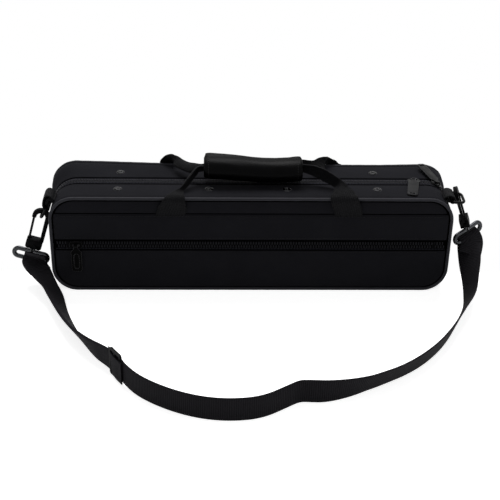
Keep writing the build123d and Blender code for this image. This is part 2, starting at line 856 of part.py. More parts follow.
long_route = [
    beside_buckle(-join_run, -2.5),
    beside_buckle(-8.0, -2.5),
    beside_buckle(-1.3, 2.5),
    beside_buckle(1.3, 2.5),
    beside_buckle(8.0, -2.5),
    beside_buckle(16, -2.0),
    (-107, -230),
    (-80, -249),
    (-52, -261),
    (-24, -266),
    (5, -261),
    (40, -237.5),
    (66, -238.5),
    (92, -231.5),
    (120, -217),
    (148, -197),
    (172, -172),
    (193, -142),
    (212, -110),
    (227, -82),
    (231, -62),
]
doubled_route = [
    beside_buckle(-join_run, half_single - half_doubled - 2.5 + doubled_thickness - strap_thickness),
    (-152, -168),
    (-174, -136),
    (-191, -108),
    (-212, -68),
]
crease = (40, -237.5)
crease_radius = 4.0


def floor_band(points, thickness, near_buckle):
    """A strap standing on edge; by the buckle it is lifted clear of the floor."""
    radii = soft_radii(points)
    if crease in points:
        radii[points.index(crease) - 1] = crease_radius
    for k in range(min(near_buckle, len(radii))):
        radii[k] = 1.6
    print("strap radii", [round(r, 1) for r in radii])
    with BuildSketch(Plane.XY) as shape:
        with BuildLine():
            FilletPolyline(*points, radius=radii)
        trace(line_width=thickness)
    extrude(shape.sketch, amount=strap_width)


def climb(foot, top, profile, thickness):
    """The part of a strap that leaves the floor: a ramp from its foot up to a hook's frame.

    profile lists (share of the way from the top, height)."""
    way = Vector(foot[0] - top[0], foot[1] - top[1], 0)
    upright_normal = Vector(0, 0, 1).cross(way).normalized()
    plane = Plane((top[0], top[1], 0), x_dir=way.normalized(), z_dir=upright_normal)
    sign = 1 if plane.y_dir.Z > 0 else -1
    points = [(share * way.length, sign * height) for share, height in profile]
    band(points, soft_radii(points), plane, thickness, strap_width)


def bar_fold(end, thickness):
    """The strap's fold round the lower bar of a frame."""
    middle, place = strap_bar(end)
    fold_plane = Plane(middle, x_dir=place.y_dir, z_dir=place.x_dir)
    r = frame_wire / 2 + fold_clearance
    with BuildSketch(fold_plane) as shape:
        Circle(r + thickness)
        with Locations((-r - 1.5, 0)):
            Rectangle(2 * r + 3, 2 * (r + thickness))
    extrude(shape.sketch, amount=strap_width / 2, both=True)


def bar_bore(end):
    middle, place = strap_bar(end)
    with BuildSketch(Plane(middle, x_dir=place.y_dir, z_dir=place.x_dir)) as hole:
        Circle(frame_wire / 2 + fold_clearance)
    extrude(hole.sketch, amount=strap_width, both=True, mode=Mode.SUBTRACT)


left_bar = strap_bar(left_end)[0]
right_bar = strap_bar(right_end)[0]
left_top = (left_bar.X, left_bar.Y - 4)
right_top = (right_bar.X, right_bar.Y - 4)
left_profile = [
    (0, left_bar.Z - 4),
    (0.3, left_bar.Z - 12),
    (0.62, left_bar.Z - 21),
    (0.85, half_doubled + 1.5),
    (1.06, half_doubled),
]
right_profile = [
    (0, right_bar.Z - 4),
    (0.3, right_bar.Z - 16),
    (0.6, 22),
    (0.82, half_single + 5),
    (1.06, half_single),
]

with BuildPart() as strap_long_run:
    floor_band(long_route, strap_thickness, 5)
    ux, uy = buckle_along
    mid = beside_buckle(0, 0)
    clear_box = Plane((mid[0], mid[1], 0), x_dir=(ux, uy, 0), z_dir=(0, 0, 1))
    with BuildSketch(clear_box):
        Rectangle(2 * 12.0, 14)
    extrude(amount=strap_raise, mode=Mode.SUBTRACT)
    with BuildSketch(Plane.XY.offset(strap_raise)):
        with BuildLine():
            lifted = long_route[:7]
            FilletPolyline(*lifted, radius=[1.6] * 4 + [20])
        trace(line_width=strap_thickness)
        with Locations(Location(clear_box)):
            Rectangle(2 * 15.0, 14, mode=Mode.INTERSECT)
    extrude(amount=strap_width)
    climb(long_route[-1], right_top, right_profile, strap_thickness)
    bar_fold(right_end, strap_thickness)
    bar_bore(right_end)
save(strap_long_run, "strap_long_run")

with BuildPart() as strap_doubled_run:
    floor_band(doubled_route, doubled_thickness, 0)
    climb(doubled_route[-1], left_top, left_profile, doubled_thickness)
    bar_fold(left_end, strap_thickness)
    bar_bore(left_end)
save(strap_doubled_run, "strap_doubled_run")

with BuildPart() as strap_buckle:
    buckle_height = strap_width + 2 * strap_raise
    stand = Plane(
        (buckle_place[0], buckle_place[1], buckle_height / 2),
        x_dir=(buckle_along[0], buckle_along[1], 0),
        z_dir=(-buckle_along[1], buckle_along[0], 0),
    )
    with BuildSketch(stand):
        RectangleRounded(buckle_length, buckle_height, 2.5)
        window = (buckle_length - 3 * buckle_bar) / 2
        for place in (-1, 1):
            with Locations((place * (window + buckle_bar) / 2, 0)):
                RectangleRounded(window, strap_width + 2 * buckle_clearance, 0.8, mode=Mode.SUBTRACT)
    extrude(amount=buckle_thickness / 2, both=True)
save(strap_buckle, "strap_buckle")

print("hinge axis at y 0, z", hinge_height)
print("top slider loop", top_place.offset(main_coil_top + loop_height).origin)
print("corner slider loop", corner_place.offset(main_coil_top + loop_height).origin)
print("pocket slider loop", pocket_place.offset(loop_height).origin)
for name, end in (("left", left_end), ("right", right_end)):
    place = turned_plane(end, end["twist"])
    pivot = place.from_local_coords(Vector(-end["sign"] * gate_pivot[0], gate_pivot[1], 0))
    print(name, "gate pivot", pivot, "axis", place.z_dir, "bar", strap_bar(end)[0])
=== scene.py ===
import math

import bmesh
import bpy
import numpy as np
from mathutils import Matrix, Vector, noise


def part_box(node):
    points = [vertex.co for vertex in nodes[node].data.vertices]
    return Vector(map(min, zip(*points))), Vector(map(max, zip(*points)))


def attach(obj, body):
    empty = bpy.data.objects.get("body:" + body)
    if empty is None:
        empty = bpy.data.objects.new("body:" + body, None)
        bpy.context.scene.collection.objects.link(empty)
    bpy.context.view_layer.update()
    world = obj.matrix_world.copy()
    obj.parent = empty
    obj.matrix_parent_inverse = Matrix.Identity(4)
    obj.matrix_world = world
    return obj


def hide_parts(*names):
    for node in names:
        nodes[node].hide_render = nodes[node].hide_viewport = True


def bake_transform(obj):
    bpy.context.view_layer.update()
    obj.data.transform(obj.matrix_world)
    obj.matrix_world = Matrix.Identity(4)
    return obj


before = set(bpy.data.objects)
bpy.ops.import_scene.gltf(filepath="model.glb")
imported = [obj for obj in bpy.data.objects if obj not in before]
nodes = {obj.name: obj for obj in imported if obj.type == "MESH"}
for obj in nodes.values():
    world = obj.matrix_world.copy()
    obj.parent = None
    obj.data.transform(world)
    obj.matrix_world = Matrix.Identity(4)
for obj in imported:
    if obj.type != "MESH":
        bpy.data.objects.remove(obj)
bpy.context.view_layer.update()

mm = 0.001

# sizes of the case that the soft pieces share with the model, in millimetres
case = {"length": 420, "height": 110, "corner": 26, "stand": 0.8, "step": 4.0, "cornerSteps": 16}
wallX = case["length"] / 2 - case["stand"]
wallZ = case["height"] - case["stand"]
midZ = wallZ / 2
cornerX = wallX - case["corner"]
cornerZ = wallZ - case["corner"]


# small helpers
def hexColor(text):
    values = [int(text[i:i + 2], 16) / 255 for i in (1, 3, 5)]
    linear = [v / 12.92 if v <= 0.04045 else ((v + 0.055) / 1.055) ** 2.4 for v in values]
    return (*linear, 1)


# Adds a shader node with its settings, and links or sets its inputs
def addNode(tree, kind, inputs=None, **settings):
    node = tree.nodes.new("ShaderNode" + kind)
    for key, value in settings.items():
        setattr(node, key, value)
    for key, value in (inputs or {}).items():
        if isinstance(value, bpy.types.NodeSocket):
            tree.links.new(value, node.inputs[key])
        else:
            node.inputs[key].default_value = value
    return node


def startMaterial(name):
    material = bpy.data.materials.new(name)
    material.use_nodes = True
    tree = material.node_tree
    tree.nodes.clear()
    shader = addNode(tree, "BsdfPrincipled")
    addNode(tree, "OutputMaterial", {"Surface": shader.outputs[0]})
    return material, tree, shader


def link(tree, source, shader, name):
    tree.links.new(source, shader.inputs[name])


# A smooth curve through the given rows, at even steps of the row number
def smoothRows(points, count):
    p = np.array(points, float)
    first = 2 * p[0] - p[1]
    last = 2 * p[-1] - p[-2]
    p = np.vstack([first, p, last])
    at = np.linspace(0, len(points) - 1, count)
    out = []
    for t in at:
        k = min(int(t), len(points) - 2)
        f = t - k
        a, b, c, d = p[k], p[k + 1], p[k + 2], p[k + 3]
        out.append(0.5 * ((2 * b) + (c - a) * f + (2 * a - 5 * b + 4 * c - d) * f ** 2
                          + (3 * b - a - 3 * c + d) * f ** 3))
    return np.array(out)


# The same line, cut into steps of about one length
def evenSteps(points, step):
    p = np.array(points, float)
    run = np.concatenate([[0], np.cumsum(np.linalg.norm(np.diff(p[:, :3], axis=0), axis=1))])
    count = max(2, int(round(run[-1] / step)) + 1)
    at = np.linspace(0, run[-1], count)
    return np.stack([np.interp(at, run, p[:, k]) for k in range(p.shape[1])], axis=1)


# The first object given becomes the active one
def selectOnly(*objects):
    for other in bpy.context.selected_objects:
        other.select_set(False)
    for obj in objects:
        obj.select_set(True)
    bpy.context.view_layer.objects.active = objects[0]


def joinPieces(*objects):
    selectOnly(*objects)
    bpy.ops.object.join()
    return objects[0]


def applyModifier(obj, kind, **settings):
    modifier = obj.modifiers.new(kind.lower(), kind)
    for key, value in settings.items():
        setattr(modifier, key, value)
    bpy.ops.object.modifier_apply(modifier=modifier.name)


def finishPiece(obj, body, material, replaced=(), smoothAngle=40):
    selectOnly(obj)
    obj.data.materials.clear()
    obj.data.materials.append(material)
    if smoothAngle:
        bpy.ops.object.shade_smooth_by_angle(angle=math.radians(smoothAngle))
    if body:
        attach(obj, body)
    if replaced:
        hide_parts(*replaced)
    return obj


# A mesh in the shared frame from points in millimetres; uvs are per face corner, in metres
def meshObject(name, points, faces, uvs=None):
    mesh = bpy.data.meshes.new(name)
    mesh.from_pydata([tuple(float(c) * mm for c in p) for p in points], [], faces)
    if uvs is not None:
        layer = mesh.uv_layers.new(name="UVMap")
        flat = np.array([c for face in uvs for uv in face for c in uv], "f")
        layer.data.foreach_set("uv", flat)
    mesh.update()
    obj = bpy.data.objects.new(name, mesh)
    bpy.context.collection.objects.link(obj)
    work = bmesh.new()
    work.from_mesh(mesh)
    bmesh.ops.recalc_face_normals(work, faces=work.faces)
    work.to_mesh(mesh)
    work.free()
    return obj


# A quad mesh from rows of points; the map runs along and across it in metres
def gridObject(name, rows, closedAlong=False, closedAcross=False, capEnds=False):
    g = np.array(rows, float)
    n, m = g.shape[:2]
    along = np.concatenate([[0], np.cumsum(np.linalg.norm(np.diff(g, axis=0), axis=2).mean(axis=1))])
    across = np.concatenate([[0], np.cumsum(np.linalg.norm(np.diff(g, axis=1), axis=2).mean(axis=0))])
    stepAlong = np.linalg.norm(g[-1] - g[0], axis=1).mean()
    stepAcross = np.linalg.norm(g[:, -1] - g[:, 0], axis=1).mean()
    along = np.append(along, along[-1] + stepAlong) * mm
    across = np.append(across, across[-1] + stepAcross) * mm
    faces, uvs = [], []
    for i in range(n if closedAlong else n - 1):
        for j in range(m if closedAcross else m - 1):
            a, b = (i + 1) % n, (j + 1) % m
            faces.append((i * m + j, a * m + j, a * m + b, i * m + b))
            uvs.append([(along[i], across[j]), (along[i + 1], across[j]),
                        (along[i + 1], across[j + 1]), (along[i], across[j + 1])])
    if capEnds:
        for i in (0, n - 1):
            faces.append(tuple(i * m + j for j in range(m)))
            uvs.append([(along[i], across[j]) for j in range(m)])
    return meshObject(name, g.reshape(-1, 3), faces, uvs)


# A strip across the front from a profile of (y, z)
def frontStrip(name, halfLength, profile):
    return gridObject(name, [[(x, y, z) for y, z in profile] for x in (-halfLength, halfLength)])


# Half-width and height pairs round a flat band with soft edges
def bandSection(width, thickness, split=6):
    w, t = width / 2, thickness / 2
    e = min(t, w * 0.5)
    xs = np.linspace(-w + e, w - e, split)
    top = [(x, t) for x in xs]
    right = [(w - e + e * math.sin(a), t * math.cos(a)) for a in (0.8, 1.57, 2.34)]
    bottom = [(x, -t) for x in xs[::-1]]
    left = [(-w + e - e * math.sin(a), -t * math.cos(a)) for a in (0.8, 1.57, 2.34)]
    return top + right + bottom + left


# A flat band along a line of points, with its width along the given sides
def ribbon(name, line, sides, widths, thickness, curl=None, split=6):
    line, sides = np.array(line, float), np.array(sides, float)
    widths = np.broadcast_to(widths, (len(line),))
    tangent = np.gradient(line, axis=0)
    tangent /= np.linalg.norm(tangent, axis=1)[:, None]
    sides = sides - (sides * tangent).sum(axis=1)[:, None] * tangent
    sides /= np.linalg.norm(sides, axis=1)[:, None]
    normal = np.cross(tangent, sides)
    rows = []
    for k, place in enumerate(line):
        section = bandSection(widths[k], thickness, split)
        bend = 0 if curl is None else curl[k]
        rows.append([place + sides[k] * a + normal[k] * (b + bend * (1 - (2 * a / widths[k]) ** 2))
                     for a, b in section])
    return gridObject(name, rows, closedAcross=True, capEnds=True)


# Places round the case's walls as (x, z) and outward direction, from the middle of the underside
def outlineStations():
    r = case["corner"]
    straight = int(round(2 * cornerX / case["step"]))
    upright = int(round((wallZ - 2 * r) / case["step"]))
    stations = [(x, 0.0, 0.0, -1.0) for x in np.linspace(0, cornerX, straight // 2 + 1)[:-1]]

    def arc(cx, cz, start):
        for a in np.radians(np.linspace(start, start + 90, case["cornerSteps"] + 1)[:-1]):
            c, s = math.cos(a), math.sin(a)
            stations.append((cx + r * c, cz + r * s, c, s))

    arc(cornerX, r, -90)
    stations += [(wallX, z, 1.0, 0.0) for z in np.linspace(r, wallZ - r, upright + 1)[:-1]]
    arc(cornerX, cornerZ, 0)
    stations += [(x, wallZ, 0.0, 1.0) for x in np.linspace(cornerX, -cornerX, straight + 1)[:-1]]
    arc(-cornerX, cornerZ, 90)
    stations += [(-wallX, z, -1.0, 0.0) for z in np.linspace(wallZ - r, r, upright + 1)[:-1]]
    arc(-cornerX, r, 180)
    stations += [(x, 0.0, 0.0, -1.0) for x in np.linspace(-cornerX, 0, straight // 2 + 1)[:-1]]
    return np.array(stations)


stations = outlineStations()


# Rows round the case from a profile of (y, distance inside the wall)
def wallRows(profile, picked=None):
    rows = []
    for x, z, nx, nz in (stations if picked is None else picked):
        rows.append([(x - nx * inset, y, z - nz * inset) for y, inset in profile])
    return np.array(rows)


# The stations over a height, as one open run from right to left over the top
def aboveHeight(height):
    chosen = [s for s in stations if s[1] > height]
    sides = [s for s in chosen if s[1] < cornerZ - 1e-6]
    right = sorted([s for s in sides if s[0] > 0], key=lambda s: s[1])
    left = sorted([s for s in sides if s[0] < 0], key=lambda s: -s[1])
    top = sorted([s for s in chosen if s[1] >= cornerZ - 1e-6], key=turnAt)
    return np.array([(wallX, height, 1.0, 0.0)] + right + top + left + [(-wallX, height, -1.0, 0.0)])


# How far round the top a station is, from right to left
def turnAt(station):
    x, z = station[0], station[1]
    if abs(x) > cornerX:
        return math.atan2(z - cornerZ + 1e-3, x - math.copysign(cornerX, x))
    return math.pi / 2 - x * 1e-4


# A slow, repeatable unevenness at a point
def uneven(point, size, amount, seed=0.0):
    p = Vector((point[0] / size + seed, point[1] / size, point[2] / size))
    return noise.noise(p) * amount


# materials
# Cloth, tape or webbing drawn along the piece's own map in metres; weave is plain, crossRibs or longRibs
def clothMaterial(name, look):
    material, tree, shader = startMaterial(name)
    uv = addNode(tree, "UVMap", uv_map="UVMap")
    split = addNode(tree, "SeparateXYZ", {0: uv.outputs[0]})
    sines = []
    for number, pitch in enumerate((look["alongPitch"], look["acrossPitch"])):
        socket = split.outputs[number]
        turns = addNode(tree, "Math", {0: socket, 1: 2 * math.pi / (pitch * mm)}, operation="MULTIPLY")
        sines.append(addNode(tree, "Math", {0: turns.outputs[0]}, operation="SINE").outputs[0])
    if look["weave"] == "plain":
        weave = addNode(tree, "Math", {0: sines[0], 1: sines[1]}, operation="MULTIPLY")
    else:
        main, other = sines if look["weave"] == "crossRibs" else sines[::-1]
        faint = addNode(tree, "Math", {0: other, 1: 0.35}, operation="MULTIPLY")
        weave = addNode(tree, "Math", {0: main, 1: faint.outputs[0]}, operation="ADD")
    coords = addNode(tree, "TexCoord")
    slow = addNode(tree, "TexNoise", {"Vector": coords.outputs["Object"], "Scale": 24.0, "Detail": 4.0})
    fibre = addNode(tree, "TexNoise", {"Vector": coords.outputs["Object"], "Scale": 1100.0, "Detail": 3.0})
    height = addNode(tree, "MapRange", {0: weave.outputs[0], 1: -1.2, 2: 1.2, 3: 0.0, 4: 1.0})
    parts = [(height.outputs[0], look["ribTone"]), (slow.outputs[0], 0.4), (fibre.outputs[0], 0.35)]
    total = None
    for socket, share in parts:
        scaled = addNode(tree, "Math", {0: socket, 1: share}, operation="MULTIPLY").outputs[0]
        if total is not None:
            scaled = addNode(tree, "Math", {0: total, 1: scaled}, operation="ADD").outputs[0]
        total = scaled
    dark, light = hexColor(look["dark"]), hexColor(look["light"])
    mix = addNode(tree, "MixRGB", {"Fac": total, "Color1": dark, "Color2": light})
    link(tree, mix.outputs[0], shader, "Base Color")
    shader.inputs["Roughness"].default_value = look["rough"]
    shader.inputs["Specular IOR Level"].default_value = look["shine"]
    both = addNode(tree, "Math", {0: height.outputs[0], 1: fibre.outputs[0]}, operation="ADD")
    bump = addNode(tree, "Bump", {"Height": both.outputs[0], "Distance": look["depth"] * mm, "Strength": 0.9})
    link(tree, bump.outputs[0], shader, "Normal")
    return material


# widths of the paler rims, which are a faint rub on the dark pieces and a painted glint on the pale-rimmed
# ones, and depths of the fine grain, in mm
rimAndGrainSizes = {"rim": 0.5, "grain": 0.04, "leather": 0.12, "pile": 0.4}


# Painted or plated metal, or moulded plastic, with paler rims: a faint rub where the rim colour is dark, a
# painted glint where it is pale
def metalMaterial(name, base, rimWearAndGlint, rough, metallic, grain=600.0, shine=0.5):
    material, tree, shader = startMaterial(name)
    coords = addNode(tree, "TexCoord")
    flecks = addNode(tree, "TexNoise", {"Vector": coords.outputs["Object"], "Scale": grain, "Detail": 5.0})
    smear = addNode(tree, "TexNoise", {"Vector": coords.outputs["Object"], "Scale": 90.0, "Detail": 2.0})
    geometry = addNode(tree, "NewGeometry")
    rounded = addNode(tree, "Bevel", {"Radius": rimAndGrainSizes["rim"] * mm}, samples=4)
    facing = addNode(tree, "VectorMath", {0: rounded.outputs[0], 1: geometry.outputs["Normal"]},
                     operation="DOT_PRODUCT")
    # the rims take the paler colour: a painted glint where that colour is pale, a faint rub where it is dark
    edge = addNode(tree, "MapRange", {0: facing.outputs["Value"], 1: 0.99, 2: 0.85, 3: 0.0, 4: 1.0})
    rimWearAndGlintMask = addNode(tree, "Math", {0: edge.outputs[0], 1: flecks.outputs[0]}, operation="MULTIPLY")
    mix = addNode(tree, "MixRGB",
                  {"Fac": rimWearAndGlintMask.outputs[0], "Color1": hexColor(base), "Color2": hexColor(rimWearAndGlint)})
    link(tree, mix.outputs[0], shader, "Base Color")
    roughRange = addNode(tree, "MapRange",
                         {0: smear.outputs[0], 1: 0.3, 2: 0.7, 3: rough - 0.06, 4: rough + 0.1})
    link(tree, roughRange.outputs[0], shader, "Roughness")
    shader.inputs["Metallic"].default_value = metallic
    shader.inputs["Specular IOR Level"].default_value = shine
    bump = addNode(tree, "Bump",
                   {"Height": flecks.outputs[0], "Distance": rimAndGrainSizes["grain"] * mm, "Strength": 0.5})
    link(tree, bump.outputs[0], shader, "Normal")
    return material


# Smooth imitation leather with a fine pebbled grain
def leatherMaterial(name, light, dark):
    material, tree, shader = startMaterial(name)
    coords = addNode(tree, "TexCoord")
    cells = addNode(tree, "TexVoronoi", {"Vector": coords.outputs["Object"], "Scale": 850.0}, feature="F1")
    folds = addNode(tree, "TexNoise", {"Vector": coords.outputs["Object"], "Scale": 60.0, "Detail": 6.0})
    mix = addNode(tree, "MixRGB",
                  {"Fac": folds.outputs[0], "Color1": hexColor(dark), "Color2": hexColor(light)})
    link(tree, mix.outputs[0], shader, "Base Color")
    roughRange = addNode(tree, "MapRange", {0: folds.outputs[0], 1: 0.3, 2: 0.7, 3: 0.32, 4: 0.44})
    link(tree, roughRange.outputs[0], shader, "Roughness")
    shader.inputs["Specular IOR Level"].default_value = 0.032
    both = addNode(tree, "Math", {0: cells.outputs[0], 1: folds.outputs[0]}, operation="ADD")
    bump = addNode(tree, "Bump",
                   {"Height": both.outputs[0], "Distance": rimAndGrainSizes["leather"] * mm, "Strength": 0.55})
    link(tree, bump.outputs[0], shader, "Normal")
    return material


# Short-pile lining
def plushMaterial(name, light, dark):
    material, tree, shader = startMaterial(name)
    coords = addNode(tree, "TexCoord")
    pile = addNode(tree, "TexNoise", {"Vector": coords.outputs["Object"], "Scale": 1600.0, "Detail": 4.0})
    brushed = addNode(tree, "TexNoise",
                      {"Vector": coords.outputs["Object"], "Scale": 35.0, "Detail": 3.0, "Distortion": 1.5})
    both = addNode(tree, "MixRGB", {"Fac": 0.55, "Color1": pile.outputs[0], "Color2": brushed.outputs[0]})
    mix = addNode(tree, "MixRGB",
                  {"Fac": both.outputs[0], "Color1": hexColor(dark), "Color2": hexColor(light)})
    link(tree, mix.outputs[0], shader, "Base Color")
    shader.inputs["Roughness"].default_value = 0.95
    shader.inputs["Sheen Weight"].default_value = 0.5
    bump = addNode(tree, "Bump", {"Height": pile.outputs[0], "Distance": rimAndGrainSizes["pile"] * mm, "Strength": 0.8})
    link(tree, bump.outputs[0], shader, "Normal")
    return material


# pitches and depths in mm
looks = {
    # plain weave nylon over foam, about 16 threads to the cm: a dull black with a faint blue,
    # no gloss, and slow light and dark patches where the foam gives
    "black woven nylon": {
        "light": "#212125", "dark": "#0a0a0c", "alongPitch": 0.62, "acrossPitch": 0.62, "weave": "plain",
        "ribTone": 0.35, "rough": 0.85, "shine": 0.03, "depth": 0.05},
    # the same cloth wrapped tight round a cord, drawn paler than the case cloth: a painted highlight for the
    # line of light that its stretched threads catch
    "black piping cloth": {
        "light": "#38383d", "dark": "#1c1c1f", "alongPitch": 0.5, "acrossPitch": 0.5, "weave": "plain",
        "ribTone": 0.3, "rough": 0.6, "shine": 0.08, "depth": 0.04},
    # flat woven handle webbing, its warp cords lying lengthwise as raised lines,
    # drawn coarser than real ones so that they show
    "black nylon webbing": {
        "light": "#101012", "dark": "#010101", "alongPitch": 2.2, "acrossPitch": 1.5, "weave": "longRibs",
        "ribTone": 0.9, "rough": 0.6, "shine": 0.05, "depth": 0.5},
    # shoulder webbing standing on edge: its weft shows as upright ribs about 2 mm apart
    "black nylon strap webbing": {
        "light": "#201f22", "dark": "#020202", "alongPitch": 2.0, "acrossPitch": 1.0, "weave": "crossRibs",
        "ribTone": 0.95, "rough": 0.7, "shine": 0.03, "depth": 0.4},
    # zip tape: dull ribs across it, drawn coarser than real ones so that they show,
    # and lighter than the painted shadow strip beside the cloth's roll
    "black zip tape cloth": {
        "light": "#232328", "dark": "#010101", "alongPitch": 3.4, "acrossPitch": 2.4, "weave": "crossRibs",
        "ribTone": 1.0, "rough": 0.8, "shine": 0.03, "depth": 0.3},
    # painted shade: near-black strips laid where the seams' turned-under edges and the zips' gaps let hardly
    # any light in
    "black seam tape": {
        "light": "#020202", "dark": "#010101", "alongPitch": 0.5, "acrossPitch": 0.5, "weave": "plain",
        "ribTone": 0.4, "rough": 0.95, "shine": 0.0, "depth": 0.03},
    # twisted sewing thread, a little shinier than the cloth that it sinks into
    "black sewing thread": {
        "light": "#1b1b1d", "dark": "#0d0d0e", "alongPitch": 0.4, "acrossPitch": 0.4, "weave": "plain",
        "ribTone": 0.4, "rough": 0.6, "shine": 0.12, "depth": 0.03},
}
cloths = [clothMaterial(name, look) for name, look in looks.items()]
caseCloth, pipingClothPaintedHighlight, webbingCloth, strapCloth, tapeCloth, paintedShadowCloth, threadMaterial = cloths
# extruded nylon line wound into a coil: satin
coilPlastic = metalMaterial("black nylon zip coil", "#17171a", "#222226", 0.5, 0.0, shine=0.06)
# die cast zinc, painted black; its pale rims are a painted glint
pocketMetal = metalMaterial("black painted zinc with glints painted on its rims", "#010101", "#77777a", 0.5, 0.0, shine=0.03)
# the same paint where nothing rubs it: a flat black
blackMetal = metalMaterial("black painted zinc", "#020203", "#161617", 0.5, 0.0, shine=0.03)
# plated: a dull dark face, with brighter rims that are a painted glint
nickelMetal = metalMaterial("gunmetal plated zinc", "#111112", "#6c6d6f", 0.45, 1.0)
# bent wire under baked enamel: smooth and glossy
ringMetal = metalMaterial("black enamelled steel", "#030304", "#19191a", 0.3, 0.0, shine=0.06)
# pressed and plated: small domes that mirror the lamp as a bright spot; their pale rims are a painted glint
rivetMetal = metalMaterial("dark nickel rivets", "#161617", "#b4b5b7", 0.2, 1.0)
# injection moulded: an even satin black
hookPlastic = metalMaterial("black moulded nylon", "#0a0a0b", "#19191b", 0.6, 0.0, shine=0.08)
# a thin dark plate over steel wire: mirrors the pale room and the black case beside it; its pale rims are a
# painted glint
frameMetal = metalMaterial("polished black nickel", "#313234", "#a4a5a7", 0.2, 1.0)
# a coated cloth, pressed with a fine grain: one soft line of light along its crown
wrapLeather = leatherMaterial("smooth black imitation leather", "#050506", "#010101")
# cut pile on a knit: soft, with paler edges and brushed streaks
plushCloth = plushMaterial("charcoal plush", "#2b2b33", "#0e0e12")
# pressed paper board: dull and flecked
boardMaterial = metalMaterial("grey stiffening board", "#55524c", "#6e6b64", 0.8, 0.0, grain=300.0)
print("materials made")

# camera
view = {"place": (-0.0372, -1.0633, 0.6281), "forward": (0.0304, 0.8697, -0.4927), "roll": 1.11,
        "lens": 80.64}
forward = Vector(view["forward"]).normalized()
level = forward.cross(Vector((0, 0, 1))).normalized()
upright = level.cross(forward)
roll = math.radians(view["roll"])
camRight = level * math.cos(roll) + upright * math.sin(roll)
camUp = upright * math.cos(roll) - level * math.sin(roll)
cameraData = bpy.data.cameras.new("camera")
cameraData.lens = view["lens"]
cameraData.sensor_width = 36
cameraData.clip_start = 0.05
camera = bpy.data.objects.new("camera", cameraData)
bpy.context.collection.objects.link(camera)
turn = Matrix((camRight, camUp, -forward)).transposed().to_4x4()
camera.matrix_world = Matrix.Translation(Vector(view["place"])) @ turn
bpy.context.scene.camera = camera
print("camera made")

# shoulder strap
strap = {"width": 25, "thick": 1.6, "doubled": 3.06, "barRadius": 1.75, "coverWidth": 24.4, "coverThick": 1.4}


# Points along a smooth line, in mm, from its control points in metres
def nurbsLine(name, points):
    curve = bpy.data.curves.new(name, "CURVE")
    curve.dimensions = "3D"
    curve.resolution_u = 16
    spline = curve.splines.new("NURBS")
    spline.points.add(len(points) - 1)
    for point, place in zip(spline.points, points):
        point.co = (*place, 1)
    spline.order_u = 3
    spline.use_endpoint_u = True
    holder = bpy.data.objects.new(name, curve)
    bpy.context.collection.objects.link(holder)
    bpy.context.view_layer.update()
    mesh = bpy.data.meshes.new_from_object(holder)
    line = [tuple(v.co[k] / mm for k in range(3)) for v in mesh.vertices]
    bpy.data.objects.remove(holder)
    bpy.data.meshes.remove(mesh)
    return evenSteps(line, 2.0)


# Width directions for a strap on edge: each lean is (share of the way, degrees)
def leanSides(line, leans, outward=1.0):
    run = np.linspace(0, 1, len(line))
    tangent = np.gradient(line, axis=0)
    flat = tangent.copy()
    flat[:, 2] = 0
    flat /= np.linalg.norm(flat, axis=1)[:, None]
    tangent /= np.linalg.norm(tangent, axis=1)[:, None]
    out = np.stack([flat[:, 1], -flat[:, 0], np.zeros(len(line))], axis=1) * outward
    up = np.cross(out, tangent) * outward
    angle = np.radians(np.interp(run, [a for a, _ in leans], [b for _, b in leans]))
    return up * np.cos(angle)[:, None] + out * np.sin(angle)[:, None]


# points chosen along each run, in metres
longRoute = [
    (-0.1342, -0.1884, 0.014), (-0.1315, -0.1946, 0.0146), (-0.13, -0.1996, 0.015),
    (-0.1268, -0.2024, 0.0148), (-0.1225, -0.212, 0.0136), (-0.107, -0.231, 0.0125),
    (-0.08, -0.25, 0.0125), (-0.052, -0.262, 0.0125), (-0.024, -0.266, 0.0125),
    (0.005, -0.262, 0.0125), (0.03, -0.2445, 0.0125), (0.04, -0.2375, 0.0125),
    (0.05, -0.238, 0.0125), (0.066, -0.2385, 0.0124), (0.092, -0.2315, 0.012),
    (0.12, -0.217, 0.0115), (0.148, -0.1985, 0.011), (0.173, -0.174, 0.0106),
    (0.1945, -0.144, 0.0106), (0.212, -0.11, 0.011), (0.227, -0.082, 0.012),
    (0.232, -0.06, 0.016), (0.234, -0.04, 0.026), (0.235, -0.024, 0.036),
    (0.2354, -0.015, 0.0445),
]
doubledRoute = [
    (-0.1355, -0.1905, 0.0134), (-0.143, -0.1805, 0.0124), (-0.1555, -0.1685, 0.0116),
    (-0.177, -0.137, 0.0104), (-0.1905, -0.108, 0.01), (-0.2005, -0.082, 0.0105),
    (-0.207, -0.062, 0.0125), (-0.2165, -0.048, 0.0165), (-0.225, -0.034, 0.0215),
    (-0.2297, -0.026, 0.0238),
]
longLine = nurbsLine("long route", longRoute)
doubledLine = nurbsLine("doubled route", doubledRoute)
longLeans = [(0, 0), (0.42, 0), (0.5, 21), (0.56, 24), (0.63, 19), (0.7, 17), (0.78, 18), (0.84, 24),
             (0.91, 36), (0.95, 62), (1, 88)]
doubledLeans = [(0, 4), (0.12, 12), (0.3, 30), (0.42, 33), (0.6, 39), (0.8, 56), (1, 90)]
longSides = leanSides(longLine, longLeans)
# the directions of the two frames' lower bars, which the ends of the runs turn to
barRight = np.array([0.8138, 0.5, 0.2962])
barLeft = np.array([-0.9563, 0, 0.2924])
longSides[-8:] = longSides[-8:] * 0.25 + barRight * 0.75
longSides = smoothRows(longSides[::6], len(longSides))
doubledSides = leanSides(doubledLine, doubledLeans, outward=-1.0)
doubledSides[-6:] = doubledSides[-6:] * 0.2 + barLeft * 0.8
doubledSides = smoothRows(doubledSides[::6], len(doubledSides))

longRun = ribbon("shoulder_strap_long", longLine, longSides, strap["width"], strap["thick"], split=9)
finishPiece(longRun, "front_half", strapCloth, ["strap_long_run"])
doubledRun = ribbon("shoulder_strap_doubled", doubledLine, doubledSides, strap["width"], strap["doubled"],
                    split=9)
finishPiece(doubledRun, "front_half", strapCloth, ["strap_doubled_run"])


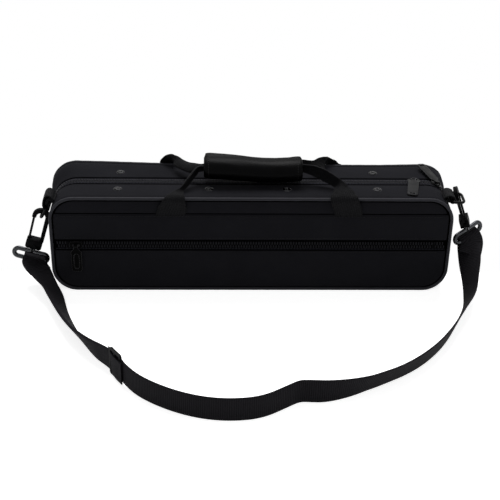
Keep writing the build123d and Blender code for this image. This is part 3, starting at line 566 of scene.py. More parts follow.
# The strap's loose loop round a frame's lower bar, with both plies brought together under it
def barFold(name, middle, direction, downTo, thickness, reach):
    middle, direction, downTo = [np.array(v, float) for v in (middle, direction, downTo)]
    away = downTo - middle
    away -= (away @ direction) * direction
    away /= np.linalg.norm(away)
    across = np.cross(direction, away)
    r = strap["barRadius"] + thickness / 2
    turnPoints = []
    for a in np.radians(np.linspace(-95, 95, 17)):
        slack = away * reach * max(0, math.cos(a)) ** 0.4
        turnPoints.append(middle + r * (math.sin(a) * across - math.cos(a) * away) - slack)
    tail = thickness / 2 + 0.1
    start = [downTo - across * tail, middle + away * 6 - across * (tail + 0.3)]
    end = [middle + away * 6 + across * (tail + 0.3), downTo + across * tail]
    line = evenSteps(smoothRows(start + turnPoints + end, 90), 1.0)
    return ribbon(name, line, [direction] * len(line), strap["width"], thickness, split=9)


# the left loop has slid towards the case, so more of its frame shows at the far end
leftFold = barFold("left_strap_fold", (-230.3, -22, 25.56), -barLeft, doubledLine[-8], 1.5, 6.2)
rightFold = barFold("right_strap_fold", (235.439, -10.5, 49.2523), barRight, longLine[-8], 1.5, 3.0)

# the strap's end, lapped over the side of the buckle that faces out
buckle = {"place": (-131.2, -196.4, 13.2), "way": (-0.430, 0.903)}
wayX, wayY = buckle["way"]
buckleX, buckleY, buckleZ = buckle["place"]
coverLine = []
for far, lift in ((14, 0.9), (11, 1.3), (7, 2.2), (3, 2.7), (-2, 2.8), (-7, 2.4), (-12, 1.6), (-17, 0.9)):
    dx, dy = wayX * far, wayY * far
    coverLine.append((buckleX + dx - wayY * lift, buckleY + dy + wayX * lift, buckleZ + 0.03 * dy))
coverLine = smoothRows(coverLine, 40)
buckleCover = ribbon("buckle_strap_cover", coverLine, [(-0.05, 0.06, 1)] * 40, strap["coverWidth"],
                     strap["coverThick"], split=9)
finishPiece(buckleCover, "front_half", strapCloth)
for fold in (leftFold, rightFold):
    finishPiece(fold, "front_half", strapCloth)
print("strap made")

# covers
# each half with how far out its broad face lies, and how much that face bulges
cover = {"lip": 8.2, "edgeInset": 3.1, "rings": 12, "front": (39.0, 0.0), "back": (41.2, 0.9)}
# how far the padding swells the back half's rim: against height up the end walls,
# against degrees round the upper corners, and against x along the top
swells = {
    "leftWall": ([38, 66, 83], [0, 4.4, 5.4]), "leftCorner": ([0, 30, 60, 90], [5.4, 6.0, 5.4, 3.6]),
    "rightWall": ([50, 83], [0, 2.2]), "rightCorner": ([0, 40, 90], [2.2, 3.2, 1.0]),
    "top": ([-cornerX, -150, -108, -60, 140, cornerX], [3.6, 2.9, 1.5, 0, 0, 1.0]),
    "rivets": (-139, 131), "rivetRow": 20, "rivetHold": 11,
    "startDepth": 6, "fullDepth": 34, "startHeight": 38,
}


# The padding's swell past the stiff shell at a place; the rivets hold the cloth down
def backSwell(x, y, z):
    if y < swells["startDepth"] or z < swells["startHeight"]:
        return 0
    t = min((y - swells["startDepth"]) / (swells["fullDepth"] - swells["startDepth"]), 1)
    depth = t * t * (3 - 2 * t)
    turned = math.degrees(math.atan2(z - cornerZ, abs(x) - cornerX))
    if abs(x) > cornerX:
        end = "left" if x < 0 else "right"
        onWall = z < cornerZ
        swell = np.interp(z if onWall else turned, *swells[end + ("Wall" if onWall else "Corner")])
    else:
        swell = np.interp(x, *swells["top"]) if z > midZ else 0
    near = min(math.hypot(x - place, y - swells["rivetRow"]) for place in swells["rivets"])
    return float(swell) * depth * (1 - math.exp(-(near / swells["rivetHold"]) ** 2))


# The cloth shell of one half: its walls, the roll at the zip and the broad face
def coverPiece(name, side, face, bulge):
    lip = cover["lip"]
    profile = [
        (lip + 1.6, 1.15), (lip + 0.3, 1.1), (lip, 0.75), (lip + 0.25, 0.25), (lip + 0.9, 0.02),
        (lip + 3, -0.05), (lip + 8, -0.25), (20, -0.4), (24, -0.4), (28, -0.35), (31.5, -0.25),
        (34, -0.15), (36.6, 0.15), (37.6, 0.7), (37.9, 1.6),
    ]
    rows = wallRows([(side * y, inset) for y, inset in profile])
    for row, (x, z, nx, nz) in zip(rows, stations):
        out = np.array([nx, 0, nz])
        for j in range(len(row)):
            # between the two rolled edges the cloth is uneven, and lies flat on the underside
            if 5 <= j < 12 and row[j][2] > 3:
                row[j] += out * (uneven(row[j], 38, 0.35, side * 3.0) + uneven(row[j], 11, 0.12, 8.0))
            elif 5 <= j < 12:
                row[j][2] = max(row[j][2], 0.0)
            row[j] += out * backSwell(*row[j])
    wall = gridObject(name, rows, closedAlong=True)
    finishPiece(wall, None, caseCloth)
    # broad face, inside the piping
    loops = []
    for k in range(cover["rings"] + 1):
        t = k / cover["rings"]
        loop = []
        for x, z, nx, nz in stations:
            hold = cover["edgeInset"] - backSwell(x, side * face, z)
            start = np.array([x - nx * hold, z - nz * hold])
            goal = np.array([min(max(x, -cornerX - 8), cornerX + 8), midZ])
            p = start * (1 - t) + goal * t
            y = face - 0.8 * (1 - min(1, t * 9)) + bulge * math.sin(min(1, t * 1.3) * math.pi / 2)
            if bulge:
                y += uneven((p[0], 0, p[1]), 45, 0.25, 20.0) * min(1, t * 4)
            loop.append((p[0], side * y, p[1]))
        loops.append(loop)
    faceGrid = gridObject(name + "_face", loops, closedAcross=True)
    finishPiece(faceGrid, None, caseCloth)
    return joinPieces(wall, faceGrid)


# Maps a flat-faced piece by x and z, so that a weave runs straight across it
def faceUv(obj):
    mesh = obj.data
    layer = mesh.uv_layers.active or mesh.uv_layers.new(name="UVMap")
    for polygon in mesh.polygons:
        n = polygon.normal
        for loopIndex in polygon.loop_indices:
            co = mesh.vertices[mesh.loops[loopIndex].vertex_index].co
            if abs(n.y) >= max(abs(n.x), abs(n.z)):
                uv = (co.x, co.z)
            elif abs(n.z) >= abs(n.x):
                uv = (co.x, co.y)
            else:
                uv = (co.z, co.y)
            layer.data[loopIndex].uv = uv


for half, side in (("front", -1), ("back", 1)):
    shell = coverPiece(half + "_cover_cloth", side, *cover[half])
    faceUv(shell)
    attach(shell, half + "_half")
    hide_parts(half + "_cover")
print("covers made")


# piping
piping = {"radius": 1.65, "pucker": 0.05, "y": 40.1, "inset": 1.0, "sides": 22}


# Cloth-covered piping with its seam tucked towards the walls
def pipingPiece(side, half):
    rows = []
    for i, (x, z, nx, nz) in enumerate(stations):
        row = []
        for k in range(piping["sides"]):
            a = 2 * math.pi * k / piping["sides"]
            r = piping["radius"] + piping["pucker"] * math.sin(i * 1.7)
            out = math.cos(a) * r - piping["inset"] + backSwell(x, side * 40, z)
            y = piping["y"] + math.sin(a) * r
            px, pz = x + nx * out, z + nz * out
            row.append((px, side * y, max(pz, 0.0)))
        rows.append(row)
    tube = gridObject(half + "_piping_cloth", rows, closedAlong=True, closedAcross=True)
    return finishPiece(tube, half + "_half", pipingClothPaintedHighlight, [half + "_piping"])


pipingPiece(-1, "front")
pipingPiece(1, "back")
# a near-black strip just inside the front piping: painted shade where the piping meets the broad face
pipingShadowRows = wallRows([(-39.4, 2.3), (-39.75, 2.9), (-39.7, 3.6), (-39.55, 4.3), (-39.0, 4.7)])
pipingShadowStrip = gridObject("front_piping_seam_tape", pipingShadowRows, closedAlong=True)
finishPiece(pipingShadowStrip, "front_half", paintedShadowCloth)
print("piping made")


# stitches
# rings along a stitch: (share of its length, share of its radius, how many radii it sinks)
stitch = {"sides": 6, "rings": ((-0.5, 0.35, 0.45), (-0.3, 1.0, 0), (0.3, 1.0, 0), (0.5, 0.35, 0.45))}


# Short raised stitches along a line; outward gives each its lift direction
def stitchRow(name, line, outward, body, pitch=3.2, length=2.3, radius=0.28):
    line = evenSteps(line, pitch)
    sides = stitch["sides"]
    turns = np.linspace(0, 2 * math.pi, sides, endpoint=False)
    points, faces, uvs = [], [], []
    for k in range(len(line) - 1):
        way = line[k + 1] - line[k]
        way /= np.linalg.norm(way)
        lift = np.array(outward(line[k]), float)
        side = np.cross(way, lift)
        middle = (line[k] + line[k + 1]) / 2
        base = len(points)
        for t, r, sink in stitch["rings"]:
            for a in turns:
                spoke = (side * math.cos(a) + lift * math.sin(a)) * radius * r
                points.append(middle + way * length * t + spoke - lift * (sink * radius))
        for q in range(3):
            for j in range(sides):
                a, b = base + q * sides + j, base + q * sides + (j + 1) % sides
                faces.append((a, b, b + sides, a + sides))
                uvs.append([(0, 0), (0, 0.0005), (0.0008, 0.0005), (0.0008, 0)])
        for q in (0, 3):
            faces.append(tuple(base + q * sides + j for j in range(sides)))
            uvs.append([(0, 0)] * sides)
    obj = meshObject(name, points, faces, uvs)
    return finishPiece(obj, body, threadMaterial)


def facingFront(place):
    return (0, -1, 0)


# pocket
pocket = {
    "inset": 4.0, "face": 39.5, "cloth": 1.35, "columns": 110, "roll": 0.7, "topRoll": 1.5,
    "upper": (59.9, 90.2), "lower": (3.3, 48.4), "zip": 55, "tooth": 203, "tape": 204, "slot": 204.8,
}


# Half the width of the case's outline, drawn in by inset, at a height
def halfWidth(z, inset):
    r = case["corner"] - inset
    low, high = case["corner"], wallZ - case["corner"]
    dz = low - z if z < low else (z - high if z > high else 0)
    return cornerX + (math.sqrt(max(r * r - dz * dz, 0)) if dz > 0 else r)


# A flat cloth panel of the pocket with turned edges and a slight swell
def panelPiece(name, reach, replaced, bulge, seed, rowCount):
    low, high = reach
    heights = low + (high - low) * (1 - np.cos(np.linspace(0, math.pi, rowCount))) / 2
    columns = np.sin(np.linspace(-math.pi / 2, math.pi / 2, pocket["columns"]))
    rows = []
    for z in heights:
        w = halfWidth(max(z, pocket["inset"]), pocket["inset"])
        row = []
        for c in columns:
            x = c * w
            edge = max(min(z - low, high - z, w - abs(x)), 0)
            rollWidth = pocket["topRoll"] if high - z < 6 and high > 80 else pocket["roll"]
            roll = 1 - math.exp(-edge / rollWidth)
            rise = min(max((z - low) / (high - low), 0), 1)
            swell = bulge * math.sin(math.pi * rise) ** 0.7 * (1 - c ** 6)
            slow = uneven((x, 0, z), 42, 0.3, seed) * min(1, edge / 6)
            row.append((x, -(pocket["face"] + pocket["cloth"] * roll + swell + slow), z))
        rows.append(row)
    panel = gridObject(name, rows)
    faceUv(panel)
    return finishPiece(panel, "front_half", caseCloth, [replaced], smoothAngle=60)


panelPiece("pocket_upper_cloth", pocket["upper"], "pocket_upper_panel", 0.35, 2.0, 16)
panelPiece("pocket_lower_cloth", pocket["lower"], "pocket_lower_panel", 0.9, 9.0, 30)
# a near-black strip along the pocket's top edge: painted shade in the seam's gap
pocketTopShadowProfile = ((-39.0, 91.0), (-39.4, 90.85), (-39.5, 90.6), (-39.3, 90.3))
pocketTopShadowStrip = frontStrip("pocket_seam_tape", pocket["tooth"], pocketTopShadowProfile)
finishPiece(pocketTopShadowStrip, "front_half", paintedShadowCloth)
# each row's half length, and its y and z
pocketStitches = {
    "zip_upper": (196, -41.25, 63.2), "zip_lower": (196, -41.3, 46.8), "top": (198, -41.05, 88.4)}
for tag, (reach, y, z) in pocketStitches.items():
    stitchRow(f"pocket_{tag}_stitches", [(-reach, y, z), (reach, y, z)], facingFront, "front_half")
print("pocket made")

# zips
# a loop of a coil: its points across the zip as (how far out, how high), and its points along the
# zip as (share of its width, share of that height)
coil = {
    "pitch": 2.8, "width": 0.62,
    "across": ((0.12, 0.2), (0.35, 0.62), (1.4, 0.78), (3.3, 0.6), (3.6, 0.1)),
    "along": ((-0.5, 0), (-0.3, 1.0), (0.3, 1.0), (0.5, 0)),
}


# One side of a nylon coil: a row of rounded loops along the tape's edge
# (real coils have 1.5 mm between loops, drawn 2.8 mm apart so that they show at this size)
def zipTeeth(name, line, widthWay, outWay, body, replaced, side):
    line = evenSteps(line, coil["pitch"])
    points, faces, uvs = [], [], []
    for k in range(len(line) - 1):
        way = line[k + 1] - line[k]
        way = way / np.linalg.norm(way)
        wide = np.array(widthWay, float)
        out = np.array(outWay(line[k]), float)
        middle = line[k] + way * coil["pitch"] * (0.25 if side > 0 else 0.75)
        base = len(points)
        for a, h in coil["across"]:
            for b, lift in coil["along"]:
                points.append(middle + wide * a + way * b * coil["pitch"] * coil["width"] + out * (h * lift))
        for q in range(4):
            for j in range(3):
                a = base + q * 4 + j
                faces.append((a, a + 1, a + 5, a + 4))
                uvs.append([(0, 0), (0, 0.001), (0.001, 0.001), (0.001, 0)])
    obj = meshObject(name, points, faces, uvs)
    return finishPiece(obj, body, coilPlastic, replaced, smoothAngle=50)


# The outward direction of the case's wall beside a place
def wallNormal(place):
    x, z = place[0], place[2]
    v = np.array([x - max(-cornerX, min(cornerX, x)), 0, z - min(cornerZ, z)])
    if np.linalg.norm(v) < 1e-6:
        v = np.array([0, 0, 1.0])
    return v / np.linalg.norm(v)


# profiles of (y, distance inside the wall) for the back half
zipProfiles = {
    "tape_cloth": ((0.35, 0.7), (3.2, 0.45), (5.9, 0.42), (6.5, 0.9), (8.0, 1.2), (12, 1.2)),
    # the near-black strip beside the tape is painted shade in the gap under the cloth's roll
    "painted_gap_shadow": ((5.5, 0.45), (5.9, 0.36), (8.3, 0.5), (8.9, 0.9)),
}
overTop = aboveHeight(31.0)
coilInset = 0.55
for side, half in ((-1, "front"), (1, "back")):
    body = half + "_half"
    coilLine = [(x - nx * coilInset, side * 0.05, z - nz * coilInset) for x, z, nx, nz in overTop]
    zipTeeth(half + "_zip_teeth", coilLine, (0, side, 0), wallNormal, body, [half + "_zip_coil"], side)
    tapes = (("tape_cloth", tapeCloth, [half + "_zip_tape"]), ("painted_gap_shadow", paintedShadowCloth, []))
    for tag, material, replaced in tapes:
        rows = wallRows([(side * y, inset) for y, inset in zipProfiles[tag]], overTop)
        finishPiece(gridObject(f"{half}_zip_{tag}", rows), body, material, replaced)
for tag, side in (("upper", 1), ("lower", -1)):
    line = [(x, -40.25, pocket["zip"] + side * 0.05) for x in (-pocket["tooth"], pocket["tooth"])]
    zipTeeth("pocket_zip_teeth_" + tag, line, (0, 0, side), facingFront, "front_half",
             ["pocket_zip_coil"], side)
tapeProfile = ((-39.6, 48.7), (-40.2, 51.2), (-40.25, 52.0), (-40.3, 55), (-40.25, 58.0),
               (-40.2, 58.8), (-39.6, 61.3))
pocketTape = frontStrip("pocket_zip_tape_cloth", pocket["tape"], tapeProfile)
finishPiece(pocketTape, "front_half", tapeCloth, ["pocket_zip_tape"])
# near-black strips that paint the shade in the slots beside the teeth, where the panels' turned edges stand
# over the tape
for tag, low, high, y in (("upper", 50.7, 61.5, -40.4), ("lower", 48.0, 49.2, -40.7)):
    slotProfile = ((y + 0.25, low), (y, low + 0.25), (y, high - 0.25), (y + 0.25, high))
    shade = frontStrip(f"pocket_{tag}_painted_shadow_strip", pocket["slot"], slotProfile)
    finishPiece(shade, "front_half", paintedShadowCloth)
print("zips made")

# hinge cloth
# from left to right: down the left end, under the case and up the right end
underside = [s for s in stations if s[1] < 29.4]
underside.sort(key=lambda s: s[0] + s[1] * math.copysign(0.001, s[0]))
hingeProfile = [(-12, 1.5), (-6, 1.45), (-2, 1.4), (-0.6, 1.4), (0, 1.4), (0.6, 1.4), (2, 1.4),
                (6, 1.45), (12, 1.5)]
hinge = gridObject("hinge_cloth", wallRows(hingeProfile, underside))
finishPiece(hinge, None, tapeCloth, ["front_hinge_cloth", "back_hinge_cloth"])
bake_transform(hinge)
print("hinge made")

# handle
handle = {
    "x": 1.4, "y": -2.0, "z": 126.4, "length": 102.8, "wide": 15, "high": 12, "wall": 3.8,
    "sagAt": (0, 0.1, 0.2, 0.3, 0.4, 0.5, 0.6, 0.73, 0.82, 0.9, 1),
    "sag": (0, 0.3, 0.5, 1.0, 1.8, 2.8, 3.5, 3.7, 3.2, 3.0, 2.2),
    "stitches": 46.5,
}


# How far the wrap hangs below its left end at a place along it
def wrapSag(x):
    t = (x - handle["x"]) / handle["length"] + 0.5
    return float(np.interp(t, handle["sagAt"], handle["sag"]))


# The smooth sleeve that holds the two carrying straps together, open along its rear
def wrapPiece():
    left, right = handle["x"] - handle["length"] / 2, handle["x"] + handle["length"] / 2
    # places along the wrap, and how much smaller it is there, so that its ends round over
    ends = {"left": ((1.6, 3.6), (0.3, 3.4), (0, 2.7), (0.5, 1.8), (1.8, 1.0), (4, 0.35)),
            "right": ((-1.8, 0.4), (-0.5, 1.0), (0, 2.2), (-0.5, 3.3), (-1.6, 3.6))}
    places = [(left + x, less) for x, less in ends["left"]]
    places += [(x, 0.0) for x in np.linspace(left + 7, right - 4, 42)]
    places += [(right + x, less) for x, less in ends["right"]]
    angles = np.radians(np.linspace(20, 332, 84))
    wall = handle["wall"]
    rows = []
    for x, less in places:
        outer, inner = [], []
        t = (x - left) / handle["length"]
        # the free edge lifts most at the left end, and steps up close to the right end
        rise = 0.5 + 2.5 * max(0, 1 - t / 0.5) ** 1.3 + 0.8 / (1 + math.exp((0.885 - t) / 0.012))
        middle = handle["z"] - wrapSag(x)
        for a in angles:
            deg = math.degrees(a)
            swell = 0.35 * math.sin(math.pi * min(max(t, 0), 1)) + uneven((x, deg, 0), 30, 0.35, 5.0)
            flap = rise / (1 + math.exp((deg - 80) / (0.9 + rise))) if 0.01 < t < 0.985 and deg <= 210 else 0
            wide = handle["wide"] + swell + flap - less
            high = handle["high"] + swell * 0.6 + flap - less
            c, s = math.cos(a), math.sin(a)
            outer.append((x, handle["y"] + wide * c, middle + high * s))
            inner.append((x, handle["y"] + (handle["wide"] - wall) * c, middle + (handle["high"] - wall) * s))
        rows.append(outer + inner[::-1])
    obj = gridObject("handle_wrap_leather", rows, closedAcross=True, capEnds=True)
    return finishPiece(obj, "front_half", wrapLeather, ["handle_wrap"], smoothAngle=35)


wrapPiece()


def wrapRing(x, startAngle, endAngle, extra):
    wide, high = handle["wide"] + extra, handle["high"] + extra
    middle = handle["z"] - wrapSag(x)
    return [(x, handle["y"] + wide * math.cos(a), middle + high * math.sin(a))
            for a in np.radians(np.linspace(startAngle, endAngle, 30))]


def wrapOut(place):
    across, above = place[1] - handle["y"], place[2] - handle["z"]
    v = np.array([0, across / handle["wide"] ** 2, above / handle["high"] ** 2])
    return v / np.linalg.norm(v)


for tag, side in (("left", -1), ("right", 1)):
    line = wrapRing(handle["x"] + side * handle["stitches"], 84, 325, 0.35)
    stitchRow(f"wrap_{tag}_stitches", line, wrapOut, "front_half", 2.6, 1.9, 0.25)


# rows of each leg's two edges, from its sewn end up over the piping and into the wrap, in mm
legRows = {
    "frontLeft": [
        ((-99.5, -39.7, 86.5), (-70.5, -39.7, 86.5)), ((-98.8, -39.8, 90.5), (-70, -39.8, 90.5)),
        ((-96.5, -40.8, 96.8), (-67.2, -40.8, 98)), ((-93.4, -42.7, 103.6), (-67.2, -42.9, 103.6)),
        ((-90.2, -43.3, 108), (-67.8, -43.5, 107.8)), ((-87, -40.6, 110.9), (-68.4, -41.6, 111.3)),
        ((-82.5, -36, 112.8), (-69.2, -36.4, 112.8)), ((-74.9, -29.5, 114.9), (-70, -29.5, 112)),
        ((-70.2, -26, 118.3), (-67.3, -22, 112.6)), ((-66.2, -22, 122.2), (-63.3, -14, 114.8)),
        ((-60.6, -13, 126.4), (-57.7, -7, 119.5)), ((-55, -6.5, 128.6), (-53, -1.5, 122.6)),
        ((-46, -5, 129.5), (-46, -3, 122.5)),
    ],
    "frontRight": [
        ((86, -39.7, 86.5), (114.3, -39.7, 86.5)), ((85.8, -39.8, 90.5), (114.3, -39.8, 90.5)),
        ((84.4, -40.8, 96.8), (112.6, -40.8, 97)), ((82.2, -42.7, 103.6), (110.4, -42.9, 103.6)),
        ((80.8, -43.4, 107.9), (108.8, -43.4, 108.2)), ((79.9, -41.2, 111.5), (107.2, -40.8, 111.6)),
        ((81.4, -37.2, 113.4), (104.6, -35.4, 114.6)), ((84.2, -32.5, 114.9), (99.4, -29, 117.4)),
        ((86.3, -27.5, 114.4), (94.2, -24, 121)), ((84.6, -20, 112.9), (89.8, -20, 122.8)),
        ((79.5, -14, 113.7), (85, -17, 125)), ((69.9, -8, 116.6), (77.2, -13, 128.2)),
        ((61.2, -5.5, 119.6), (65.6, -9, 131.4)), ((52, -4, 122), (52, -7, 132.3)),
        ((47, -4, 122.4), (47, -6.5, 132)),
    ],
    "backLeft": [
        ((-99, 42.9, 84), (-69, 42.9, 84)), ((-99, 42.9, 92), (-69.5, 42.9, 92)),
        ((-99, 43.1, 99), (-72, 43.1, 99)), ((-99.2, 43.9, 105), (-76, 43.9, 105)),
        ((-98.5, 44, 110.5), (-80, 43.6, 110.5)), ((-95.8, 43.2, 113.8), (-81.5, 40.6, 113.6)),
        ((-91.6, 41.4, 118), (-81, 35.5, 116.6)), ((-85.6, 36, 122.4), (-80, 29, 118.8)),
        ((-81, 31, 122.4), (-78.4, 22, 118.2)), ((-76.1, 26, 121.7), (-76, 15, 118)),
        ((-68, 17, 122.8), (-69.6, 6.5, 118.2)), ((-60, 9, 125.6), (-62.4, -1, 118.6)),
        ((-51.5, 4, 127), (-55, -4, 121.8)), ((-46, 3, 128.6), (-46, -2.4, 122.8)),
    ],
    "backRight": [
        ((83, 42.9, 84), (113, 42.9, 84)), ((83, 42.9, 92), (112, 42.9, 92)),
        ((82.5, 43.1, 99), (106, 43.1, 99)), ((82, 43.9, 105), (98.4, 43.9, 105)),
        ((81.4, 43.6, 110.4), (94, 44, 110.2)), ((80, 39, 112.6), (89, 43, 114.2)),
        ((78.6, 31, 114.4), (83.6, 40, 118)), ((77, 20.5, 115.2), (80.6, 33, 120.8)),
        ((70.9, 12, 117.4), (75.6, 25, 122.6)), ((66, 7, 120.6), (69.6, 17, 124.2)),
        ((60, 2.4, 122.6), (62, 8.4, 129.6)), ((53.5, 0, 124), (53, 3.4, 133)),
        ((47, -1, 124), (47, 2, 132.4)),
    ],
}
# how far each leg's middle bows away from its edges, as it is pinched towards the wrap
legBows = {"frontLeft": 2.2, "frontRight": 2.6, "backLeft": -2.0, "backRight": 1.6}
leg = {"count": 110, "thick": 1.7, "gripHalf": 49, "gripWidth": 7.0, "gripThick": 4.0, "gripZ": 126}


# The carrying strap of one half: two legs and the folded stretch inside the wrap
def handleStrap(name, body, replaced, legNames, gripY):
    legs = []
    share = np.linspace(0, 1, leg["count"])
    for legName in legNames:
        leftEdge = smoothRows([row[0] for row in legRows[legName]], leg["count"])
        rightEdge = smoothRows([row[1] for row in legRows[legName]], leg["count"])
        across = rightEdge - leftEdge
        widths = np.linalg.norm(across, axis=1)
        bow = np.interp(share, [0, 0.45, 0.65, 0.9, 1], [0, 0, 1, 1, 0.5]) * legBows[legName]
        middle = (leftEdge + rightEdge) / 2
        legs.append(ribbon(f"{name}_{legName}", middle, across, widths, leg["thick"], bow, 10))
    inWrap = [(x, gripY, leg["gripZ"]) for x in np.linspace(-leg["gripHalf"], leg["gripHalf"], 30)]
    fold = ribbon(f"{name}_grip", inWrap, [(0, 0.1, 1)] * 30, leg["gripWidth"], leg["gripThick"])
    joinPieces(fold, *legs)
    fold.name = name
    return finishPiece(fold, body, webbingCloth, [replaced])


handleStrap("front_handle_strap", "front_half", "front_handle_webbing", ("frontLeft", "frontRight"), -4.5)
handleStrap("back_handle_strap", "back_half", "back_handle_webbing", ("backLeft", "backRight"), 1.5)
# the sewn squares of the back legs
for tag, x in (("left", -84), ("right", 98)):
    left, right, y = x - 11, x + 11, 43.75
    square = [(left, y, 88), (right, y, 88), (right, y, 95.5), (left, y, 95.5), (left, y, 88)]
    stitchRow(f"{tag}_back_handle_stitches", square, lambda place: (0, 1, 0), "back_half", 3.0, 2.1, 0.27)
print("handle made")

# end tabs
# Short webbing tabs sewn to the end walls, bowed out and folded round the rings' bars; points are (x, z)
tabs = {
    "left_tab_webbing": {
        "bar": (-212.591, 91.351), "replaces": "left_ring_tab", "turn": -1,
        "down": [(-204.6, 101.6), (-207.2, 105), (-210.6, 106.4), (-213.6, 104), (-215.2, 99.5),
                 (-215.7, 95)],
        "back": [(-209.7, 94.6), (-208.8, 96.8), (-206.6, 99.2)]},
    "right_tab_webbing": {
        "bar": (209.250, 102.127), "replaces": "right_ring_tab", "turn": 1,
        "down": [(199.6, 105), (202.4, 107.4), (206.2, 107.9), (210, 106.2)],
        "back": [(206.3, 101.0), (204.2, 101.4), (202, 103)]},
}
tabShape = {"y": -22, "radius": 2.6, "width": 19.2, "thick": 1.8, "tuckWidth": 18.4, "tuckThick": 5.0}


# A band in the tabs' plane through the points, smoothed
def tabBand(name, points, count, width, thickness):
    line = evenSteps(smoothRows([(x, tabShape["y"], z) for x, z in points], count), 0.8)
    return ribbon(name, line, [(0, 1, 0)] * len(line), width, thickness, split=8)


for name, tab in tabs.items():
    barX, barZ = tab["bar"]
    first = math.atan2(tab["down"][-1][1] - barZ, tab["down"][-1][0] - barX)
    last = math.atan2(tab["back"][0][1] - barZ, tab["back"][0][0] - barX)
    sweep = (last - first) % (2 * math.pi) if tab["turn"] < 0 else -((first - last) % (2 * math.pi))
    r = tabShape["radius"]
    around = [(barX + r * math.cos(first + sweep * t), barZ + r * math.sin(first + sweep * t))
              for t in np.linspace(0.08, 0.92, 9)]
    band = tabBand(name, tab["down"] + around + tab["back"], 140, tabShape["width"], tabShape["thick"])
    finishPiece(band, "front_half", webbingCloth, [tab["replaces"]])
# the left tab's cut ends, tucked between its plies
tuckPoints = [(-204.2, 99.6), (-206.8, 101.4), (-209.6, 101.4), (-211.4, 98.9), (-211.9, 95.9)]
tuck = tabBand("left_tab_tucked_ends", tuckPoints, 60, tabShape["tuckWidth"], tabShape["tuckThick"])
finishPiece(tuck, "front_half", webbingCloth)
print("tabs made")


# inside
# A merged copy of a node of the model, at the origin and unrotated
def nodeCopy(name, node):
    copy = nodes[node].copy()
    copy.data = nodes[node].data.copy()
    copy.name = name
    copy.parent = None
    copy.matrix_world = nodes[node].matrix_world.copy()
    for k in range(len(copy.material_slots)):
        copy.material_slots[k].link = "DATA"
    bpy.context.collection.objects.link(copy)
    selectOnly(copy)
    bpy.ops.object.transform_apply(location=True, rotation=True, scale=True)
    bpy.ops.object.mode_set(mode="EDIT")
    bpy.ops.mesh.select_all(action="SELECT")
    bpy.ops.mesh.remove_doubles(threshold=0.00002)
    bpy.ops.object.mode_set(mode="OBJECT")
    return copy


# the lid pad is blown up from a slightly smaller copy by cloth under pressure; the voxels and cap,
# which is the most that a point may move, are in mm
padding = {"shrink": 0.985, "voxel": 5.0, "pressure": 4.0, "frames": 20, "cap": 4.0, "bedVoxel": 2.2}


# Foam under plush, blown up by the cloth solver so that its middle crowns and its edges pull in
def simulatedPad(name, node, body):
    pad = nodeCopy(name, node)
    low, high = [Vector(c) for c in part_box(node)]
    middle = (low + high) / 2
    shrink = Matrix.Scale(padding["shrink"], 4)
    pad.data.transform(Matrix.Translation(middle) @ shrink @ Matrix.Translation(-middle))
    applyModifier(pad, "REMESH", mode="VOXEL", voxel_size=padding["voxel"] * mm)
    still = [v.co.copy() for v in pad.data.vertices]
    cloth = pad.modifiers.new("cloth", "CLOTH")
    cloth.settings.use_pressure = True
    cloth.settings.uniform_pressure_force = padding["pressure"]
    cloth.settings.effector_weights.gravity = 0
    cloth.settings.quality = 5
    cloth.collision_settings.use_collision = False
    for step in range(1, padding["frames"] + 1):
        bpy.context.scene.frame_set(step)
    bpy.ops.object.modifier_apply(modifier="cloth")
    bpy.context.scene.frame_set(1)
    cap = padding["cap"] * mm
    for vertex, start in zip(pad.data.vertices, still):
        move = vertex.co - start
        if move.length > cap:
            vertex.co = start + move * (cap / move.length)
    applyModifier(pad, "SUBSURF", levels=1, render_levels=1)
    return finishPiece(pad, body, plushCloth, [node], smoothAngle=0)


# A padded copy of a foam piece: remeshed so that its edges and bays round over
def softCopy(name, node, body):
    copy = nodeCopy(name, node)
    applyModifier(copy, "REMESH", mode="VOXEL", voxel_size=padding["bedVoxel"] * mm)
    applyModifier(copy, "SMOOTH", factor=0.6, iterations=6)
    return finishPiece(copy, body, plushCloth, [node], smoothAngle=0)


pad = simulatedPad("lid_pad_plush", "lid_pad", "front_half")
bed = softCopy("instrument_bed_plush", "instrument_bed", "back_half")
for piece in (pad, bed):
    for polygon in piece.data.polygons:
        polygon.use_smooth = True
for side, half, far in ((-1, "front", 32.9), (1, "back", 35.1)):
    skinProfile = [(0.75, 6.6), (0.6, 6.3), (0.62, 5.95), (1.2, 5.75), (2.0, 5.72), (far, 5.72),
                   (far + 0.5, 6.3), (far, 6.85), (2.0, 6.88), (1.2, 6.85)]
    rows = wallRows([(side * y, inset) for y, inset in skinProfile])
    skin = gridObject(half + "_lining_plush", rows, closedAlong=True, closedAcross=True)
    finishPiece(skin, half + "_half", plushCloth, [half + "_lining"])
print("inside made")


# hard pieces that hang or are rounded otherwise than in the model
# A copy turned about a pivot, then fattened by so many mm
def reshapedCopy(name, node, body, material, turn=None, pivot=(0, 0, 0), fatten=0.0):
    copy = nodeCopy(name, node)
    if turn is not None:
        place = Vector(pivot) * mm
        copy.data.transform(Matrix.Translation(place) @ turn.to_4x4() @ Matrix.Translation(-place))
    if fatten:
        applyModifier(copy, "DISPLACE", strength=fatten * mm, mid_level=0)
    return finishPiece(copy, body, material, [node], smoothAngle=35)


